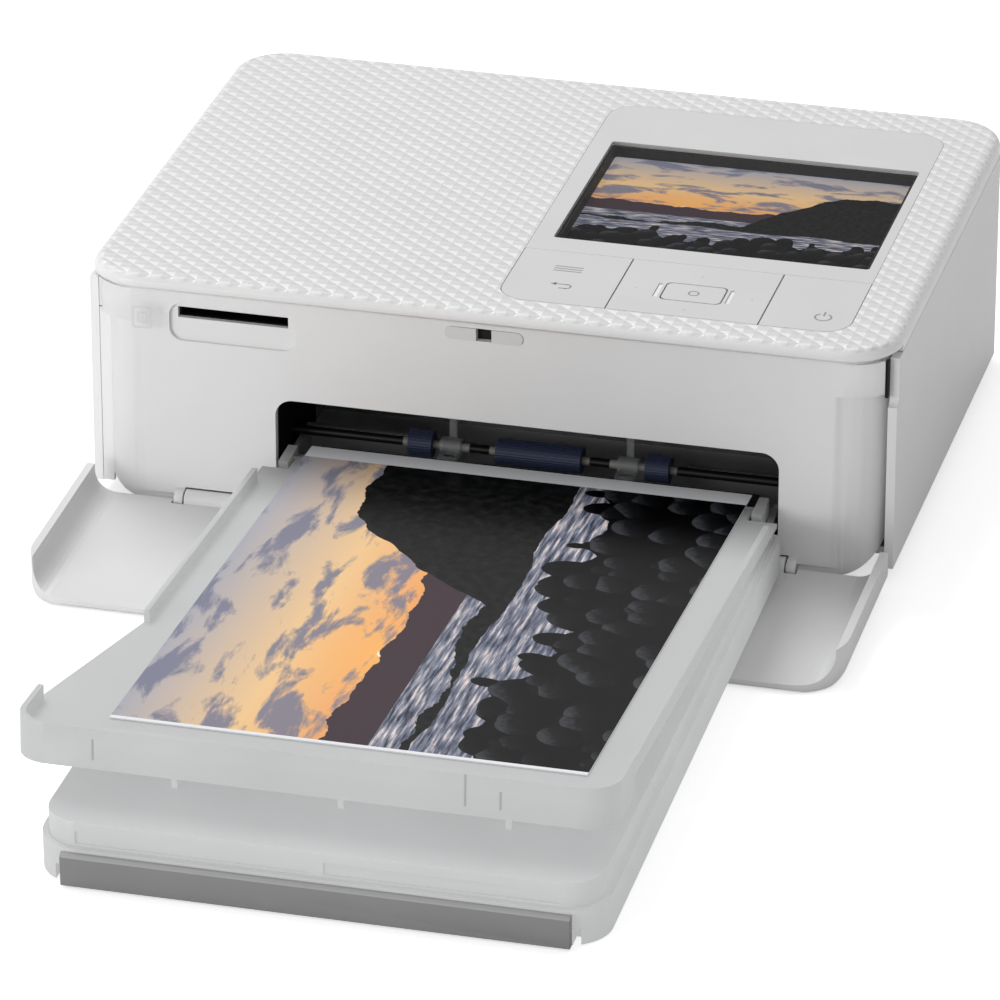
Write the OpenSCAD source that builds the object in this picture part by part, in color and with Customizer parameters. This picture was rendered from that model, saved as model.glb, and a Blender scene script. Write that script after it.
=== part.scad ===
// Compact photo printer, open for printing: front door down, paper cassette in,
// output tray out with a fresh print on it. Millimetres, +Z up, front towards -Y.

/* [Body] */
// Width over the side panels
body_w = 182.2; // [176:0.1:200]
// Depth from the front rim to the back
body_d = 133; // [130:0.5:150]
// Height from the table to the top
body_h = 57.6; // [57:0.1:66]
// Wall of the casing shells
wall = 2; // [1.6:0.1:2.4]
// Plan radius of the casing corners
corner_r = 12; // [10:0.5:14]
// Rounding round the top edge
top_edge_r = 2.2; // [1.2:0.1:3]
// Height of the top cover's rim
rim_h = 4.2; // [3.8:0.1:5]
// How far the front face lies behind the rim
face_inset = 2.5; // [1.8:0.1:3]
// Where the side panels start behind the rim
side_start = 6.6; // [6.2:0.1:8]
// Height of the shoulders above the front door's side flanges
shoulder_z = 45; // [40:0.5:47]
// Height of the rubber feet
foot_h = 3; // [2.6:0.1:3.6]
// Radius of a rubber foot
foot_r = 5; // [4:0.5:7]
// Gap between fitted casing parts
seam = 0.2; // [0.1:0.05:0.3]

/* [Front opening] */
// Width of the cassette opening
opening_w = 113.8; // [112:0.1:118]
// Sideways place of the paper path's centre line
paper_x = 9.3; // [6:0.1:11]
// Top of the cassette opening
opening_top = 30; // [28:0.5:34]
// Corner radius of the cassette opening
opening_r = 4; // [2:0.5:6]
// Depth of the tunnel behind the opening
tunnel_d = 30; // [26:1:34]

/* [Card slot and latch] */
// Width of the memory card slot
card_slot_w = 25.2; // [24.6:0.1:28]
// Height of the memory card slot
card_slot_h = 2.6; // [2.4:0.1:3.2]
// Sideways place of the card slot's centre
card_slot_x = -57.2; // [-62:0.1:-55]
// Height of the card slot's centre
card_slot_z = 48.4; // [47:0.1:49]
// Depth of the card socket
card_socket_d = 29; // [26:0.5:32]
// Width of the latch catch
latch_w = 17.6; // [14:0.1:22]
// Height of the latch catch
latch_h = 2.9; // [2.4:0.1:3.4]
// Height of the latch catch's centre line
latch_z = 50.9; // [49:0.1:51.2]

/* [Front door] */
// Thickness of the front door
door_t = 1.8; // [1.5:0.1:2]
// Distance from the door's hinge to its free edge
door_l = 52; // [48:0.5:54]
// Depth of the door's side flanges
door_flange = 8.4; // [6:0.1:9]
// Height of the door's hinge line
door_hinge_z = 3.4; // [3.3:0.05:3.6]
// Angle of the open door below level
door_droop = 1.54; // [1:0.02:1.6]
// Width between the hinge ears
door_ear_gap = 137.4; // [130:0.2:142]
// Radius of the door's hinge knuckle
door_knuckle_r = 2.3; // [2:0.05:2.5]

/* [Control panel] */
// Width of the control panel
panel_w = 78.6; // [77:0.1:82]
// Length of the control panel
panel_l = 112; // [108:0.5:113]
// Distance from the right side to the control panel
panel_side = 11.8; // [10:0.1:14]
// Distance from the front rim to the control panel
panel_y = 8.5; // [7:0.1:10]
// Corner radius of the control panel
panel_r = 6.5; // [4:0.5:8]
// Thickness of the control panel sheet
panel_t = 1.6; // [1.2:0.1:1.8]
// Width of the display window
window_w = 71.6; // [66:0.1:73]
// Length of the display window
window_l = 56; // [50:0.1:60]
// Distance from the panel's front edge to the display window
window_y = 34.5; // [33:0.1:38]
// Length of the keys behind the panel's front edge
key_l = 27.5; // [24:0.1:29]
// Width of the menu and back key
menu_key_w = 24.6; // [20:0.1:26]
// Width of the power key
power_key_w = 19.6; // [16:0.1:22]
// Width of the OK key
ok_w = 13.2; // [10:0.1:15]
// Length of the OK key
ok_l = 8.6; // [7:0.1:10]
// Gap round each key
key_gap = 0.35; // [0.3:0.05:0.5]
// Gap at the rear edge of each key, where it bends
key_hinge_gap = 0.1; // [0.05:0.05:0.2]
// Travel of the OK key
ok_travel = 0.5; // [0.4:0.1:0.6]

/* [Cassette] */
// Width of the cassette outside the printer
cassette_w = 118.6; // [116:0.1:122]
// Distance from the printer's rim to the cassette's front wall
cassette_reach = 168; // [164:0.5:176]
// How far the cassette goes into the printer
cassette_tail = 25; // [22:0.5:27]
// Height of the cassette's underside at the rim
cassette_z = 6.2; // [6:0.05:6.6]
// Downward slope of the cassette towards the front
cassette_pitch = 2; // [1.8:0.05:2.05]
// Height of the cassette's lower, wider step
cassette_step_h = 8; // [7:0.5:9]
// Wall of the cassette and its trays
tray_wall = 1.2; // [1.2:0.1:2]
// Width of the grey front bar
bar_w = 106; // [96:1:108]
// Height of the grey front bar
bar_h = 6.8; // [6:0.1:7.2]
// Thickness of the grey front bar
bar_t = 1.6; // [1.2:0.1:2]
// Sheet width
paper_w = 100; // [98:0.5:102]
// Sheet length between its tear-off tabs
paper_l = 148; // [140:1:152]
// Width of the white strip at the printed sheet's back end
tab_l = 3; // [2:0.5:4]
// Height of the paper stack
stack_h = 1.4; // [0.8:0.1:1.6]

/* [Output tray] */
// Upward slope of the output tray towards the front
output_pitch = 3.3; // [2.4:0.1:3.5]
// Height of the output tray above the cassette at the rim
output_lift = 2; // [1:0.1:2.4]
// Distance from the rim to the output tray's front lip
output_reach = 156; // [150:0.5:160]
// Height of the output tray's front lip
lip_h = 9; // [7:0.5:11]
// Reach of the lip to the left of the paper's centre line
lip_left = 67; // [60:0.5:68]
// Reach of the lip to the right of the paper's centre line
lip_right = 58.5; // [57:0.5:60]
// Length of the ear walls at the lip's ends
ear_l = 18; // [12:0.5:24]
// Height of the output tray's side walls
output_wall_h = 2.8; // [2:0.1:4]

/* [Paper transport] */
// Radius of the feed rollers
feed_roller_r = 3; // [2.6:0.1:3.2]
// Radius of the feed shaft
feed_shaft_r = 1; // [0.8:0.05:1.2]
// Distance from the rim to the feed shaft
feed_y = 16; // [15:0.1:17]
// Height of the feed shaft
feed_z = 16.7; // [16.6:0.05:17.2]
// Width of the middle feed roller
feed_roller_mid_w = 19.4; // [16:0.1:22]
// Width of an outer feed roller
feed_roller_side_w = 5.4; // [4:0.1:7]
// Distance from the middle to an outer feed roller's centre
feed_roller_side_x = 27; // [24:0.1:30]
// Height of the paper path above the table
path_z = 18.6; // [18.2:0.1:19]
// Radius of the capstan roller
capstan_r = 2.5; // [2.2:0.1:2.8]
// Distance from the rim to the capstan roller
capstan_y = 44; // [43:0.1:45]
// Radius of the pinch roller
pinch_r = 3; // [2.5:0.1:3.2]
// Radius of the platen roller
platen_r = 5; // [4.5:0.1:5.5]
// Distance from the rim to the platen roller
platen_y = 66; // [65:0.1:67]
// Running clearance of a shaft in its bearing
shaft_clear = 0.06; // [0.04:0.01:0.09]

/* [Gears] */
// Gear module
gear_m = 0.6; // [0.55:0.01:0.62]
// Face width of the gears
gear_w = 3; // [2.5:0.1:3.4]
// Teeth of the gear on the feed shaft
feed_teeth = 30; // [28:1:31]
// Teeth of the idler gear
idler_teeth = 16; // [16:1:18]
// Teeth of the gear on the capstan
capstan_teeth = 34; // [33:1:36]
// Teeth of the motor pinion
motor_teeth = 14; // [14:1:16]
// Tooth play at the pitch circle
gear_play = 0.12; // [0.08:0.01:0.16]

/* [Ribbon] */
// Radius of a ribbon spool's housing
spool_case_r = 9; // [8:0.1:9.4]
// Radius of a ribbon spool's core
spool_core_r = 4; // [3:0.1:5]
// Length of the ribbon cassette
ribbon_l = 126; // [122:0.5:130]
// Distance between the two ribbon spools
spool_pitch = 33; // [32:0.1:35]
// Height of the ribbon spools
spool_z = 33; // [32:0.1:34]

/* [Hidden] */
$fn = 48;

// Body frame: x = 0 on the body's middle, y = 0 at the rim, z = 0 on the table.
half_w = body_w / 2;
far = 400;
case_top = body_h - rim_h;
case_bottom = foot_h - 0.6;
case_foot_r = 10;
side_bottom = foot_h + 0.4;
side_back = body_d - corner_r + 3.1;
front_back = 14;
case_half_w = half_w - wall - seam;
base_t = 1.8;
base_top = foot_h + base_t;
cove_h = 1.6;
finger_gap = 1.8;

opening_x0 = paper_x - opening_w / 2;
opening_x1 = paper_x + opening_w / 2;
tunnel_t = 1.4;
tunnel_y0 = face_inset + wall + seam;
tunnel_y1 = tunnel_y0 + tunnel_d;

card_recess_w = card_slot_w + 3.7;
card_recess_h = 9;
card_recess_r = 3;
latch_hole_w = 3.5;

door_hinge_y = door_t;
door_pin_r = 1;
door_pin_l = 5;
ear_w = 2;
ear_r = 2.2;

panel_x1 = half_w - panel_side;
panel_x0 = panel_x1 - panel_w;
panel_x = panel_x1 - panel_w / 2;
panel_y1 = panel_y + panel_l;
panel_ledge = 1.6;
key_back = panel_y + key_l;
window_x0 = panel_x - window_w / 2 + 1.2;
window_x1 = window_x0 + window_w;
window_y0 = panel_y + window_y;
window_y1 = window_y0 + window_l;
window_r = 0.8;
glass_t = 0.9;
key_t = 1.2;
board_z = body_h - 6.2;
board_t = 1.6;
board_top = board_z + board_t;
board_over = 4.5;
switch_w = 4;
switch_h = 1.1;
plunger_z = board_top + switch_h + ok_travel + 0.1;
carrier_z = body_h - 3;
carrier_t = 0.8;
rocker_r = 0.5;
pad_x0 = panel_x0 + menu_key_w + key_gap;
pad_x1 = panel_x1 - power_key_w - key_gap;
pad_x = (pad_x0 + pad_x1) / 2;
ok_y = panel_y + 12.6;
ok_stem_r = 2.4;
pad_pin_x = 13.5;
pad_switch_y = 9.5;

mouth_w = opening_w - 2;
mouth_y = -4;
tail_wall_h = 7.4;
high_wall_y = 8;
cassette_corner_r = 9;
tray_floor = 1.6;
bar_bevel = 0.6;
notch_w = 1.6;
stack_l = paper_l + 26;
lift_plate_t = 0.8;
lift_tilt = 0.6;
lift_y0 = -cassette_reach + 9;
lift_pin_r = 0.8;
lid_inset = tray_wall + seam;
lid_t = 1;
lid_skirt_z = cassette_step_h - 1.6;
lid_hinge_y = 9.5;
lid_hinge_z = 5.9;
lid_pin_r = 0.8;
lid_knuckle_r = 1.4;
arm_w = 3;
arm_x1 = mouth_w / 2 - lid_inset;
shoulder_w = 2.2;
lid_rib_t = 1.2;
lid_rib_y0 = -cassette_reach + 20;
lid_rib_y1 = mouth_y - 16;

output_z = cassette_z + cassette_step_h + output_lift;
output_t = 1;
output_hinge_y = 1;
output_pin_r = 0.6;
output_tail_w = 2 * arm_x1 - 2 * arm_w + 0.4;
output_left = cassette_w / 2 - 1.7;
sheet_t = 0.25;
sheet_l = paper_l + tab_l;
sheet_y1 = 7.2;

path_gap = 0.3;
capstan_z = path_z - path_gap - capstan_r;
pinch_z = path_z + path_gap + pinch_r;
platen_z = path_z - path_gap - platen_r;
journal_r = 1.5;
chassis_t = 1;
chassis_y0 = 10;
chassis_y1 = 98;
chassis_top = card_slot_z - 2.4;
socket_over = 2;
plate_x0 = opening_x0 - 3;
plate_x1 = opening_x1 + 3;
bush_wall = 1.2;
bush_l = 2.2;
guide_x = 20.2;
guide_w = 4.6;

gear_x1 = plate_x0 - chassis_t - 1.2;
gear_x0 = gear_x1 - gear_w;
shaft_end = plate_x1 + chassis_t + 1;

spool_y0 = platen_y - spool_pitch / 2;
spool_y1 = platen_y + spool_pitch / 2;
spool_wall = 0.8;
full_roll_r = spool_case_r - spool_wall - 1;
ribbon_x0 = plate_x0 + 0.4;
ribbon_x1 = ribbon_x0 + ribbon_l;
ribbon_end = 6;
roll_x0 = ribbon_x0 + ribbon_end;
roll_x1 = roll_x0 + paper_w + 6;

hinge_pin_r = 0.6;
ribbon_knuckle_r = 1.2;
ribbon_hinge_x = half_w - ribbon_knuckle_r;
ribbon_hinge_y = side_back - ribbon_knuckle_r - 0.15;

fan_w = 28;
fan_t = 8;
fan_wall = 1.2;
fan_spoke_t = 1.4;
fan_hub_r = 5;
fan_pin_r = 0.8;
fan_rotor_h = 4.6;
fan_x = paper_x;
fan_z = path_z + 18.2;
connector_x0 = -half_w + 11.1;
connector_l = 36;
connector_y = body_d - 25;
connector_z = base_top + 3.2;
post_inset = 4;
inlet_x = connector_x0 + 10;
inlet_z = 14.4;
inlet_r = 3.4;
usb_x = connector_x0 + 28;
usb_z = inlet_z - 2.4;
usb_w = 9.4;
usb_h = 3.6;
slit_w = paper_w + 6;
slit_h = 5;

chassis_screw_y = [32, 54, 90];
chassis_foot = 10;
screw_r = 1.1;
screw_head_r = 2.2;
chassis_screw_x = [plate_x0 - chassis_t - 5, plate_x1 + chassis_t + 5];
chassis_screws = [for (x = chassis_screw_x, y = chassis_screw_y) [x, y]];
foot_inset = 13;
feet = [for (x = [-half_w + foot_inset, half_w - foot_inset], y = [22, body_d - foot_inset]) [x, y]];

main_board_x = -half_w + 4.4;
main_board_t = 1.6;
main_board_top = 49;
vent_pitch = 2.6;
vent_w = 1.2;
vent_x0 = -half_w + 25.1;

// The whole printer's front edge is the top of the tilted front bar.
bar_front = (cassette_reach + bar_t) * cos(cassette_pitch) + bar_h * sin(cassette_pitch);
origin_y = (body_d - bar_front) / 2;

function turned(p, a) = [p[0] * cos(a) - p[1] * sin(a), p[0] * sin(a) + p[1] * cos(a)];
// The output tray's hinge and the back of its underside, seen from the cassette.
output_pin_at = turned(turned([output_hinge_y, output_pin_r], -output_pitch) + [0, output_z - cassette_z],
    -cassette_pitch);
output_at = turned([0, output_z - cassette_z], -cassette_pitch);
function under_output(y) = output_at[1] + (output_at[0] - y) * tan(cassette_pitch + output_pitch);

// ---------- shared shapes ----------

// Moves the body frame so that the origin is under the middle of the open printer.
module in_place() translate([0, -origin_y, 0]) children();

// The cassette's own frame: y = 0 at the rim, z = 0 on its underside.
module in_cassette() in_place()
    translate([paper_x, 0, cassette_z]) rotate([cassette_pitch, 0, 0]) children();

// The output tray's own frame: z = 0 on the underside of its floor.
module in_output() in_place()
    translate([paper_x, 0, output_z]) rotate([-output_pitch, 0, 0]) children();

// A rounded rectangle with true arcs.
module round_rect(x0, x1, y0, y1, r) {
    translate([x0 + r, y0]) square([x1 - x0 - 2 * r, y1 - y0]);
    translate([x0, y0 + r]) square([x1 - x0, y1 - y0 - 2 * r]);
    for (x = [x0 + r, x1 - r], y = [y0 + r, y1 - r]) translate([x, y]) circle(r);
}

// Stands a drawing in x and z upright, from y0 back to y1.
module along_y(y0, y1) translate([0, y1, 0]) rotate([90, 0, 0]) linear_extrude(y1 - y0) children();

// Lays a drawing in y and z across, from x0 to x1.
module along_x(x0, x1) translate([x0, 0, 0]) rotate([90, 0, 90]) linear_extrude(x1 - x0) children();

module rod_x(x0, x1, y, z, r) translate([x0, y, z]) rotate([0, 90, 0]) cylinder(x1 - x0, r, r);

module rod_z(x, y, z0, z1, r) translate([x, y, z0]) cylinder(z1 - z0, r, r);

module block(x0, x1, y0, y1, z0, z1) translate([x0, y0, z0]) cube([x1 - x0, y1 - y0, z1 - z0]);

// The casing's plan, set in by d, with round corners front and back.
module body_plan(d) round_rect(-half_w + d, half_w - d, d, body_d - d, corner_r - d);

// The same plan, ending in flat sides at the front and the back.
module front_plan(x, y0, y1, r) intersection() {
    round_rect(-x, x, y0, y1 + 2 * r, r);
    translate([-x, y0]) square([2 * x, y1 - y0]);
}

module back_plan(d, y0) intersection() {
    body_plan(d);
    translate([-half_w, y0]) square([body_w, body_d - y0]);
}

module panel_outline(d) round_rect(panel_x0 + d, panel_x1 - d, panel_y + d, panel_y1 - d, panel_r - d);

// A slice of the panel's outline: one key, with a gap all round.
module key_outline(x0, x1) intersection() {
    panel_outline(seam);
    translate([x0, 0]) square([x1 - x0, key_back - key_hinge_gap]);
}

module stadium(w, h) {
    square([w - h, h], center = true);
    for (x = [-1, 1]) translate([x * (w - h) / 2, 0]) circle(h / 2);
}

// ---------- casing ----------

// The rim's section, from the corner's centre line outwards, with a rounded top edge.
module rim_section(h, r) {
    square([corner_r, h - r]);
    square([corner_r - r, h]);
    translate([corner_r - r, h - r]) circle(r);
}

// A slab with the casing's plan: four corners, four edges and the field between them.
module pillow_slab(z0, z1, r) translate([0, 0, z0]) {
    long_x = half_w - corner_r;
    for (side = [-1, 1], y = [corner_r, body_d - corner_r])
        translate([side * long_x, y, 0])
            rotate([0, 0, side < 0 ? (y > corner_r ? 90 : 180) : (y > corner_r ? 0 : 270)])
                rotate_extrude(angle = 90) rim_section(z1 - z0, r);
    for (a = [-90, 90]) translate([0, a < 0 ? corner_r : body_d - corner_r, 0]) rotate([0, 0, a])
        rotate([90, 0, 0]) translate([0, 0, -long_x]) linear_extrude(2 * long_x) rim_section(z1 - z0, r);
    for (a = [0, 180]) translate([a < 90 ? long_x : -long_x, body_d / 2, 0]) rotate([0, 0, a])
        rotate([90, 0, 0]) translate([0, 0, -body_d / 2 + corner_r]) linear_extrude(body_d - 2 * corner_r)
            rim_section(z1 - z0, r);
    block(-long_x, long_x, corner_r, body_d - corner_r, 0, z1 - z0);
}

// The undercut below the rim, as distance in from the rim and height.
cove = [[-1, -1], [face_inset, -1], [face_inset, 0], [0, cove_h], [-1, cove_h]];

module front_cove() {
    along_x(-half_w + corner_r, half_w - corner_r) translate([0, case_top]) polygon(cove);
    for (side = [-1, 1])
        translate([side * (half_w - corner_r), corner_r, case_top])
            rotate([0, 0, side < 0 ? 180 : -90]) rotate_extrude(angle = 90)
                polygon([for (p = cove) [corner_r - p[0], p[1]]]);
}

module top_cover() color("whitesmoke") in_place() difference() {
    union() {
        difference() {
            pillow_slab(case_top, body_h, top_edge_r);
            translate([0, 0, case_top - 1]) linear_extrude(rim_h - wall + 1) body_plan(wall + 1.6);
        }
        for (x = [panel_x0 - 2.2, panel_x1 + 2.2], y = [panel_y + 10, panel_y1 - 8])
            rod_z(x, y, board_top, body_h - wall + 0.5, 1.7);
        for (y = [26, 60, 94]) block(-half_w + 10, panel_x0 - 8, y, y + 1.2, case_top, body_h - wall + 0.5);
    }
    front_cove();
    translate([0, 0, body_h - panel_t]) linear_extrude(panel_t + 1) panel_outline(0);
    translate([0, 0, case_top - 1]) linear_extrude(rim_h + 2) panel_outline(panel_ledge);
    translate([0, 0, case_top - 1]) linear_extrude(rim_h + 2) intersection() {
        panel_outline(0);
        translate([panel_x0, 0]) square([panel_w, key_back]);
    }
}

// The front shell, solid, set in by d.
module front_block(d, y1) intersection() {
    translate([0, 0, case_bottom + d]) linear_extrude(case_top - seam - case_bottom - d)
        front_plan(case_half_w - d, face_inset + d, y1, corner_r - 1 - d);
    along_y(0, y1) round_rect(-case_half_w + d, case_half_w - d, case_bottom + d, far, case_foot_r - d);
}

module front_case() color("whitesmoke") in_place() difference() {
    union() {
        difference() {
            union() {
                front_block(0, front_back);
                translate([0, 0, shoulder_z + 0.3]) linear_extrude(case_top - seam - shoulder_z - 0.3)
                    front_plan(half_w - 0.1, face_inset, side_start - seam, corner_r - 1);
            }
            difference() {
                front_block(wall, front_back + 1);
                block(-half_w, half_w, 0, front_back + 2, case_top - seam, far);
            }
            translate([0, 0, case_top - seam - 1]) linear_extrude(2)
                front_plan(case_half_w - wall, face_inset + wall, front_back + 1, corner_r - 1 - wall);
        }
        for (side = [-1, 1]) {
            x0 = side < 0 ? -door_ear_gap / 2 - ear_w : door_ear_gap / 2;
            rod_x(x0, x0 + ear_w, door_hinge_y, door_hinge_z, ear_r);
            block(x0, x0 + ear_w, door_hinge_y, face_inset + wall, case_bottom, door_hinge_z + ear_r);
        }
    }
    along_y(face_inset - 1, tunnel_y0) round_rect(opening_x0, opening_x1, -far, opening_top, opening_r);
    block(-door_ear_gap / 2, door_ear_gap / 2, -1, face_inset + wall,
        0, door_hinge_z + door_knuckle_r + seam);
    rod_x(-half_w, half_w, door_hinge_y, door_hinge_z, door_pin_r + 0.02);
    along_y(face_inset - 1, face_inset + 0.8)
        round_rect(card_slot_x - card_recess_w / 2, card_slot_x + card_recess_w / 2,
            card_slot_z - 6.6, card_slot_z - 6.6 + card_recess_h, card_recess_r);
    block(card_slot_x - card_slot_w / 2, card_slot_x + card_slot_w / 2, 0, tunnel_y0,
        card_slot_z - card_slot_h / 2, card_slot_z + card_slot_h / 2);
    translate([0, 0, latch_z]) along_y(0, tunnel_y0) stadium(latch_w + 0.1, latch_h + 0.1);
}

module latch_catch() color("gainsboro") in_place() translate([0, 0, latch_z]) difference() {
    along_y(face_inset - 0.3, tunnel_y0) stadium(latch_w, latch_h);
    block(-latch_hole_w / 2, latch_hole_w / 2, 0, face_inset + 1.4, -latch_h, latch_h);
}

module card_socket() color("dimgray") in_place() difference() {
    block(card_slot_x - card_slot_w / 2 - socket_over, card_slot_x + card_slot_w / 2 + socket_over,
        tunnel_y0, tunnel_y0 + card_socket_d, chassis_top + 0.1, card_slot_z + 3);
    block(card_slot_x - card_slot_w / 2 + 0.4, card_slot_x + card_slot_w / 2 - 0.4,
        0, tunnel_y0 + card_socket_d - 2,
        card_slot_z - card_slot_h / 2 + 0.2, card_slot_z + card_slot_h / 2 - 0.1);
}

module left_side_panel() color("whitesmoke") in_place() {
    block(-half_w, -half_w + wall, side_start, side_back - seam, side_bottom, case_top - seam);
    for (z = [16, 34])
        block(-half_w + wall, -half_w + wall + 1.4, front_back + 4, side_back - 4, z, z + 1.2);
}

module rear_panel() color("whitesmoke") in_place() difference() {
    translate([0, 0, side_bottom]) linear_extrude(case_top - seam - side_bottom) difference() {
        back_plan(0, side_back);
        body_plan(wall);
    }
    along_y(body_d - wall - 1, body_d + 1) {
        round_rect(paper_x - slit_w / 2, paper_x + slit_w / 2, path_z - 1.6, path_z - 1.6 + slit_h, 1.5);
        translate([inlet_x, inlet_z]) circle(inlet_r);
        translate([usb_x, usb_z]) stadium(usb_w, usb_h);
        for (i = [-5:5])
            round_rect(fan_x + i * 2.4 - 0.6, fan_x + i * 2.4 + 0.6, fan_z - 10, fan_z + 10, 0.59);
    }
}

module base_pan() color("whitesmoke") in_place() difference() {
    union() {
        translate([0, 0, foot_h]) linear_extrude(base_t) back_plan(wall + seam, front_back + seam);
        for (x = [post_inset, connector_l - post_inset], y = [connector_y + post_inset, body_d - 6])
            rod_z(connector_x0 + x, y, base_top - 0.5, connector_z, 2);
    }
    for (p = chassis_screws) {
        rod_z(p[0], p[1], 0, far, screw_r);
        rod_z(p[0], p[1], 0, foot_h + 1, screw_head_r + 0.1);
    }
    for (i = [0:7]) block(vent_x0 + i * vent_pitch, vent_x0 + i * vent_pitch + vent_w, 60, 84, 0, far);
    rod_z(ribbon_hinge_x, ribbon_hinge_y, 0, far, ribbon_knuckle_r + seam);
    for (p = feet) rod_z(p[0], p[1], 0, foot_h + 0.6, foot_r + 0.1);
}

module rubber_feet() color("dimgray") in_place() for (p = feet) rod_z(p[0], p[1], 0, foot_h + 0.6, foot_r);

module base_screws() color("silver") in_place() for (p = chassis_screws) difference() {
    union() {
        rod_z(p[0], p[1], foot_h + 0.1, foot_h + 1, screw_head_r);
        rod_z(p[0], p[1], foot_h + 1, base_top + 3, screw_r - 0.02);
    }
    for (a = [0, 90]) translate([p[0], p[1], foot_h]) rotate([0, 0, a])
        cube([2.4, 0.5, 0.8], center = true);
}

// ---------- front door ----------

// The door's own frame: the hinge at the origin, the free edge towards -Y.
module in_door() in_place()
    translate([0, door_hinge_y, door_hinge_z]) rotate([door_droop, 0, 0]) children();

// The door across its width: a shallow channel with deep fillets inside.
module door_section() difference() {
    round_rect(-half_w, half_w, -door_t, 30, 3.5);
    round_rect(-half_w + door_t, half_w - door_t, 0, 60, 5);
    translate([-half_w, door_flange - door_t]) square([body_w, 60]);
}

module front_door() color("whitesmoke") in_door() difference() {
    union() {
        intersection() {
            along_y(-door_l, -0.5) door_section();
            translate([0, 0, -20]) linear_extrude(60)
                round_rect(-half_w, half_w, -door_l, corner_r * 2, corner_r);
            along_x(-half_w, half_w) round_rect(-door_l, 40, -door_t, 60, 1.2);
        }
        rod_x(-door_ear_gap / 2 + seam, door_ear_gap / 2 - seam, 0, 0, door_knuckle_r);
        block(-door_ear_gap / 2 + seam, door_ear_gap / 2 - seam, -2, 0, -door_t, 0);
    }
    for (side = [-1, 1]) {
        x0 = side < 0 ? -door_ear_gap / 2 - ear_w - 0.4 : door_ear_gap / 2 - 0.4;
        block(x0, x0 + ear_w + 0.8, -ear_r - 0.5, 10, -10, 10);
        rod_x(side < 0 ? -door_ear_gap / 2 : door_ear_gap / 2 - door_pin_l - 0.5,
            side < 0 ? -door_ear_gap / 2 + door_pin_l + 0.5 : door_ear_gap / 2, 0, 0, door_pin_r + shaft_clear);
    }
}

module front_door_pins() color("silver") in_place() for (side = [-1, 1]) {
    x0 = side < 0 ? -door_ear_gap / 2 - ear_w : door_ear_gap / 2 - door_pin_l;
    rod_x(x0, x0 + ear_w + door_pin_l, door_hinge_y, door_hinge_z, door_pin_r);
}

// ---------- ribbon door ----------

module ribbon_door() color("whitesmoke") in_place() difference() {
    union() {
        block(half_w - wall, half_w, side_start, ribbon_hinge_y, side_bottom, case_top - seam);
        rod_z(ribbon_hinge_x, ribbon_hinge_y, side_bottom, case_top - seam, ribbon_knuckle_r);
        for (z = [12, 40])
            block(half_w - wall - 1.6, half_w - wall, front_back + 4, side_back - 8, z, z + 1.2);
        for (y = [front_back + 4, side_back - 8])
            block(half_w - wall - 1.6, half_w - wall, y, y + 1.2, 12, 41.2);
    }
    along_x(0, half_w + 1) {
        translate([side_start - 1, shoulder_z - 1]) square([finger_gap + 1, far]);
        translate([side_start, shoulder_z - 1]) circle(finger_gap);
    }
    rod_z(ribbon_hinge_x, ribbon_hinge_y, 0, far, hinge_pin_r + shaft_clear);
}

module ribbon_door_pin() color("silver") in_place()
    rod_z(ribbon_hinge_x, ribbon_hinge_y, side_bottom - 0.2, case_top - 0.1, hinge_pin_r);

// ---------- control panel ----------

module control_bezel() color("white") in_place() translate([0, 0, body_h - panel_t]) linear_extrude(panel_t)
    difference() {
        intersection() {
            panel_outline(seam / 2);
            translate([panel_x0, key_back]) square([panel_w, panel_l]);
        }
        round_rect(window_x0, window_x1, window_y0, window_y1, window_r);
    }

module window_outline(d) round_rect(window_x0 + d, window_x1 - d, window_y0 + d, window_y1 - d, window_r);

module display_glass() color([0.8, 0.85, 0.9, 0.35]) in_place()
    translate([0, 0, body_h - glass_t - 0.05]) linear_extrude(glass_t) window_outline(seam / 2);

module display_module() color("black") in_place() difference() {
    translate([0, 0, board_top]) linear_extrude(body_h - glass_t - 0.05 - board_top)
        window_outline(seam / 2);
    translate([0, 0, board_top + 1.2]) linear_extrude(far) window_outline(0.9);
}

module panel_board() color("seagreen") in_place() {
    difference() {
        block(panel_x0 - board_over, panel_x1 + board_over, panel_y, panel_y1 + 1, board_z, board_top);
        for (x = [panel_x0 - 2.2, panel_x1 + 2.2], y = [panel_y + 10, panel_y1 - 8])
            rod_z(x, y, 0, far, 0.8);
    }
    for (p = [[panel_x0 + menu_key_w / 2, ok_y], [pad_x, ok_y], [panel_x1 - power_key_w / 2, ok_y],
        [pad_x - pad_pin_x, ok_y], [pad_x + pad_pin_x, ok_y],
        [pad_x, ok_y - pad_switch_y], [pad_x, ok_y + pad_switch_y]])
        translate([p[0] - switch_w / 2, p[1] - switch_w / 2, board_top - 0.1])
            cube([switch_w, switch_w, switch_h + 0.1]);
    for (side = [-1, 1]) {
        x0 = pad_x + side * 6 - 1;
        rod_x(x0, x0 + 2, ok_y, carrier_z - 0.1 - rocker_r, rocker_r);
        block(x0, x0 + 2, ok_y - rocker_r, ok_y + rocker_r, board_top - 0.1, carrier_z - 0.1 - rocker_r);
    }
}

module key_plate(x0, x1) translate([0, 0, body_h - key_t]) linear_extrude(key_t) key_outline(x0, x1);

module menu_key() color("white") in_place() {
    key_plate(panel_x0, panel_x0 + menu_key_w);
    rod_z(panel_x0 + menu_key_w / 2, ok_y, plunger_z, body_h - key_t, 1.5);
}

module power_key() color("white") in_place() {
    key_plate(panel_x1 - power_key_w, panel_x1);
    rod_z(panel_x1 - power_key_w / 2, ok_y, plunger_z, body_h - key_t, 1.5);
}

module ok_outline(d) translate([pad_x, ok_y])
    round_rect(-ok_w / 2 - d, ok_w / 2 + d, -ok_l / 2 - d, ok_l / 2 + d, 1.4);

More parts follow.
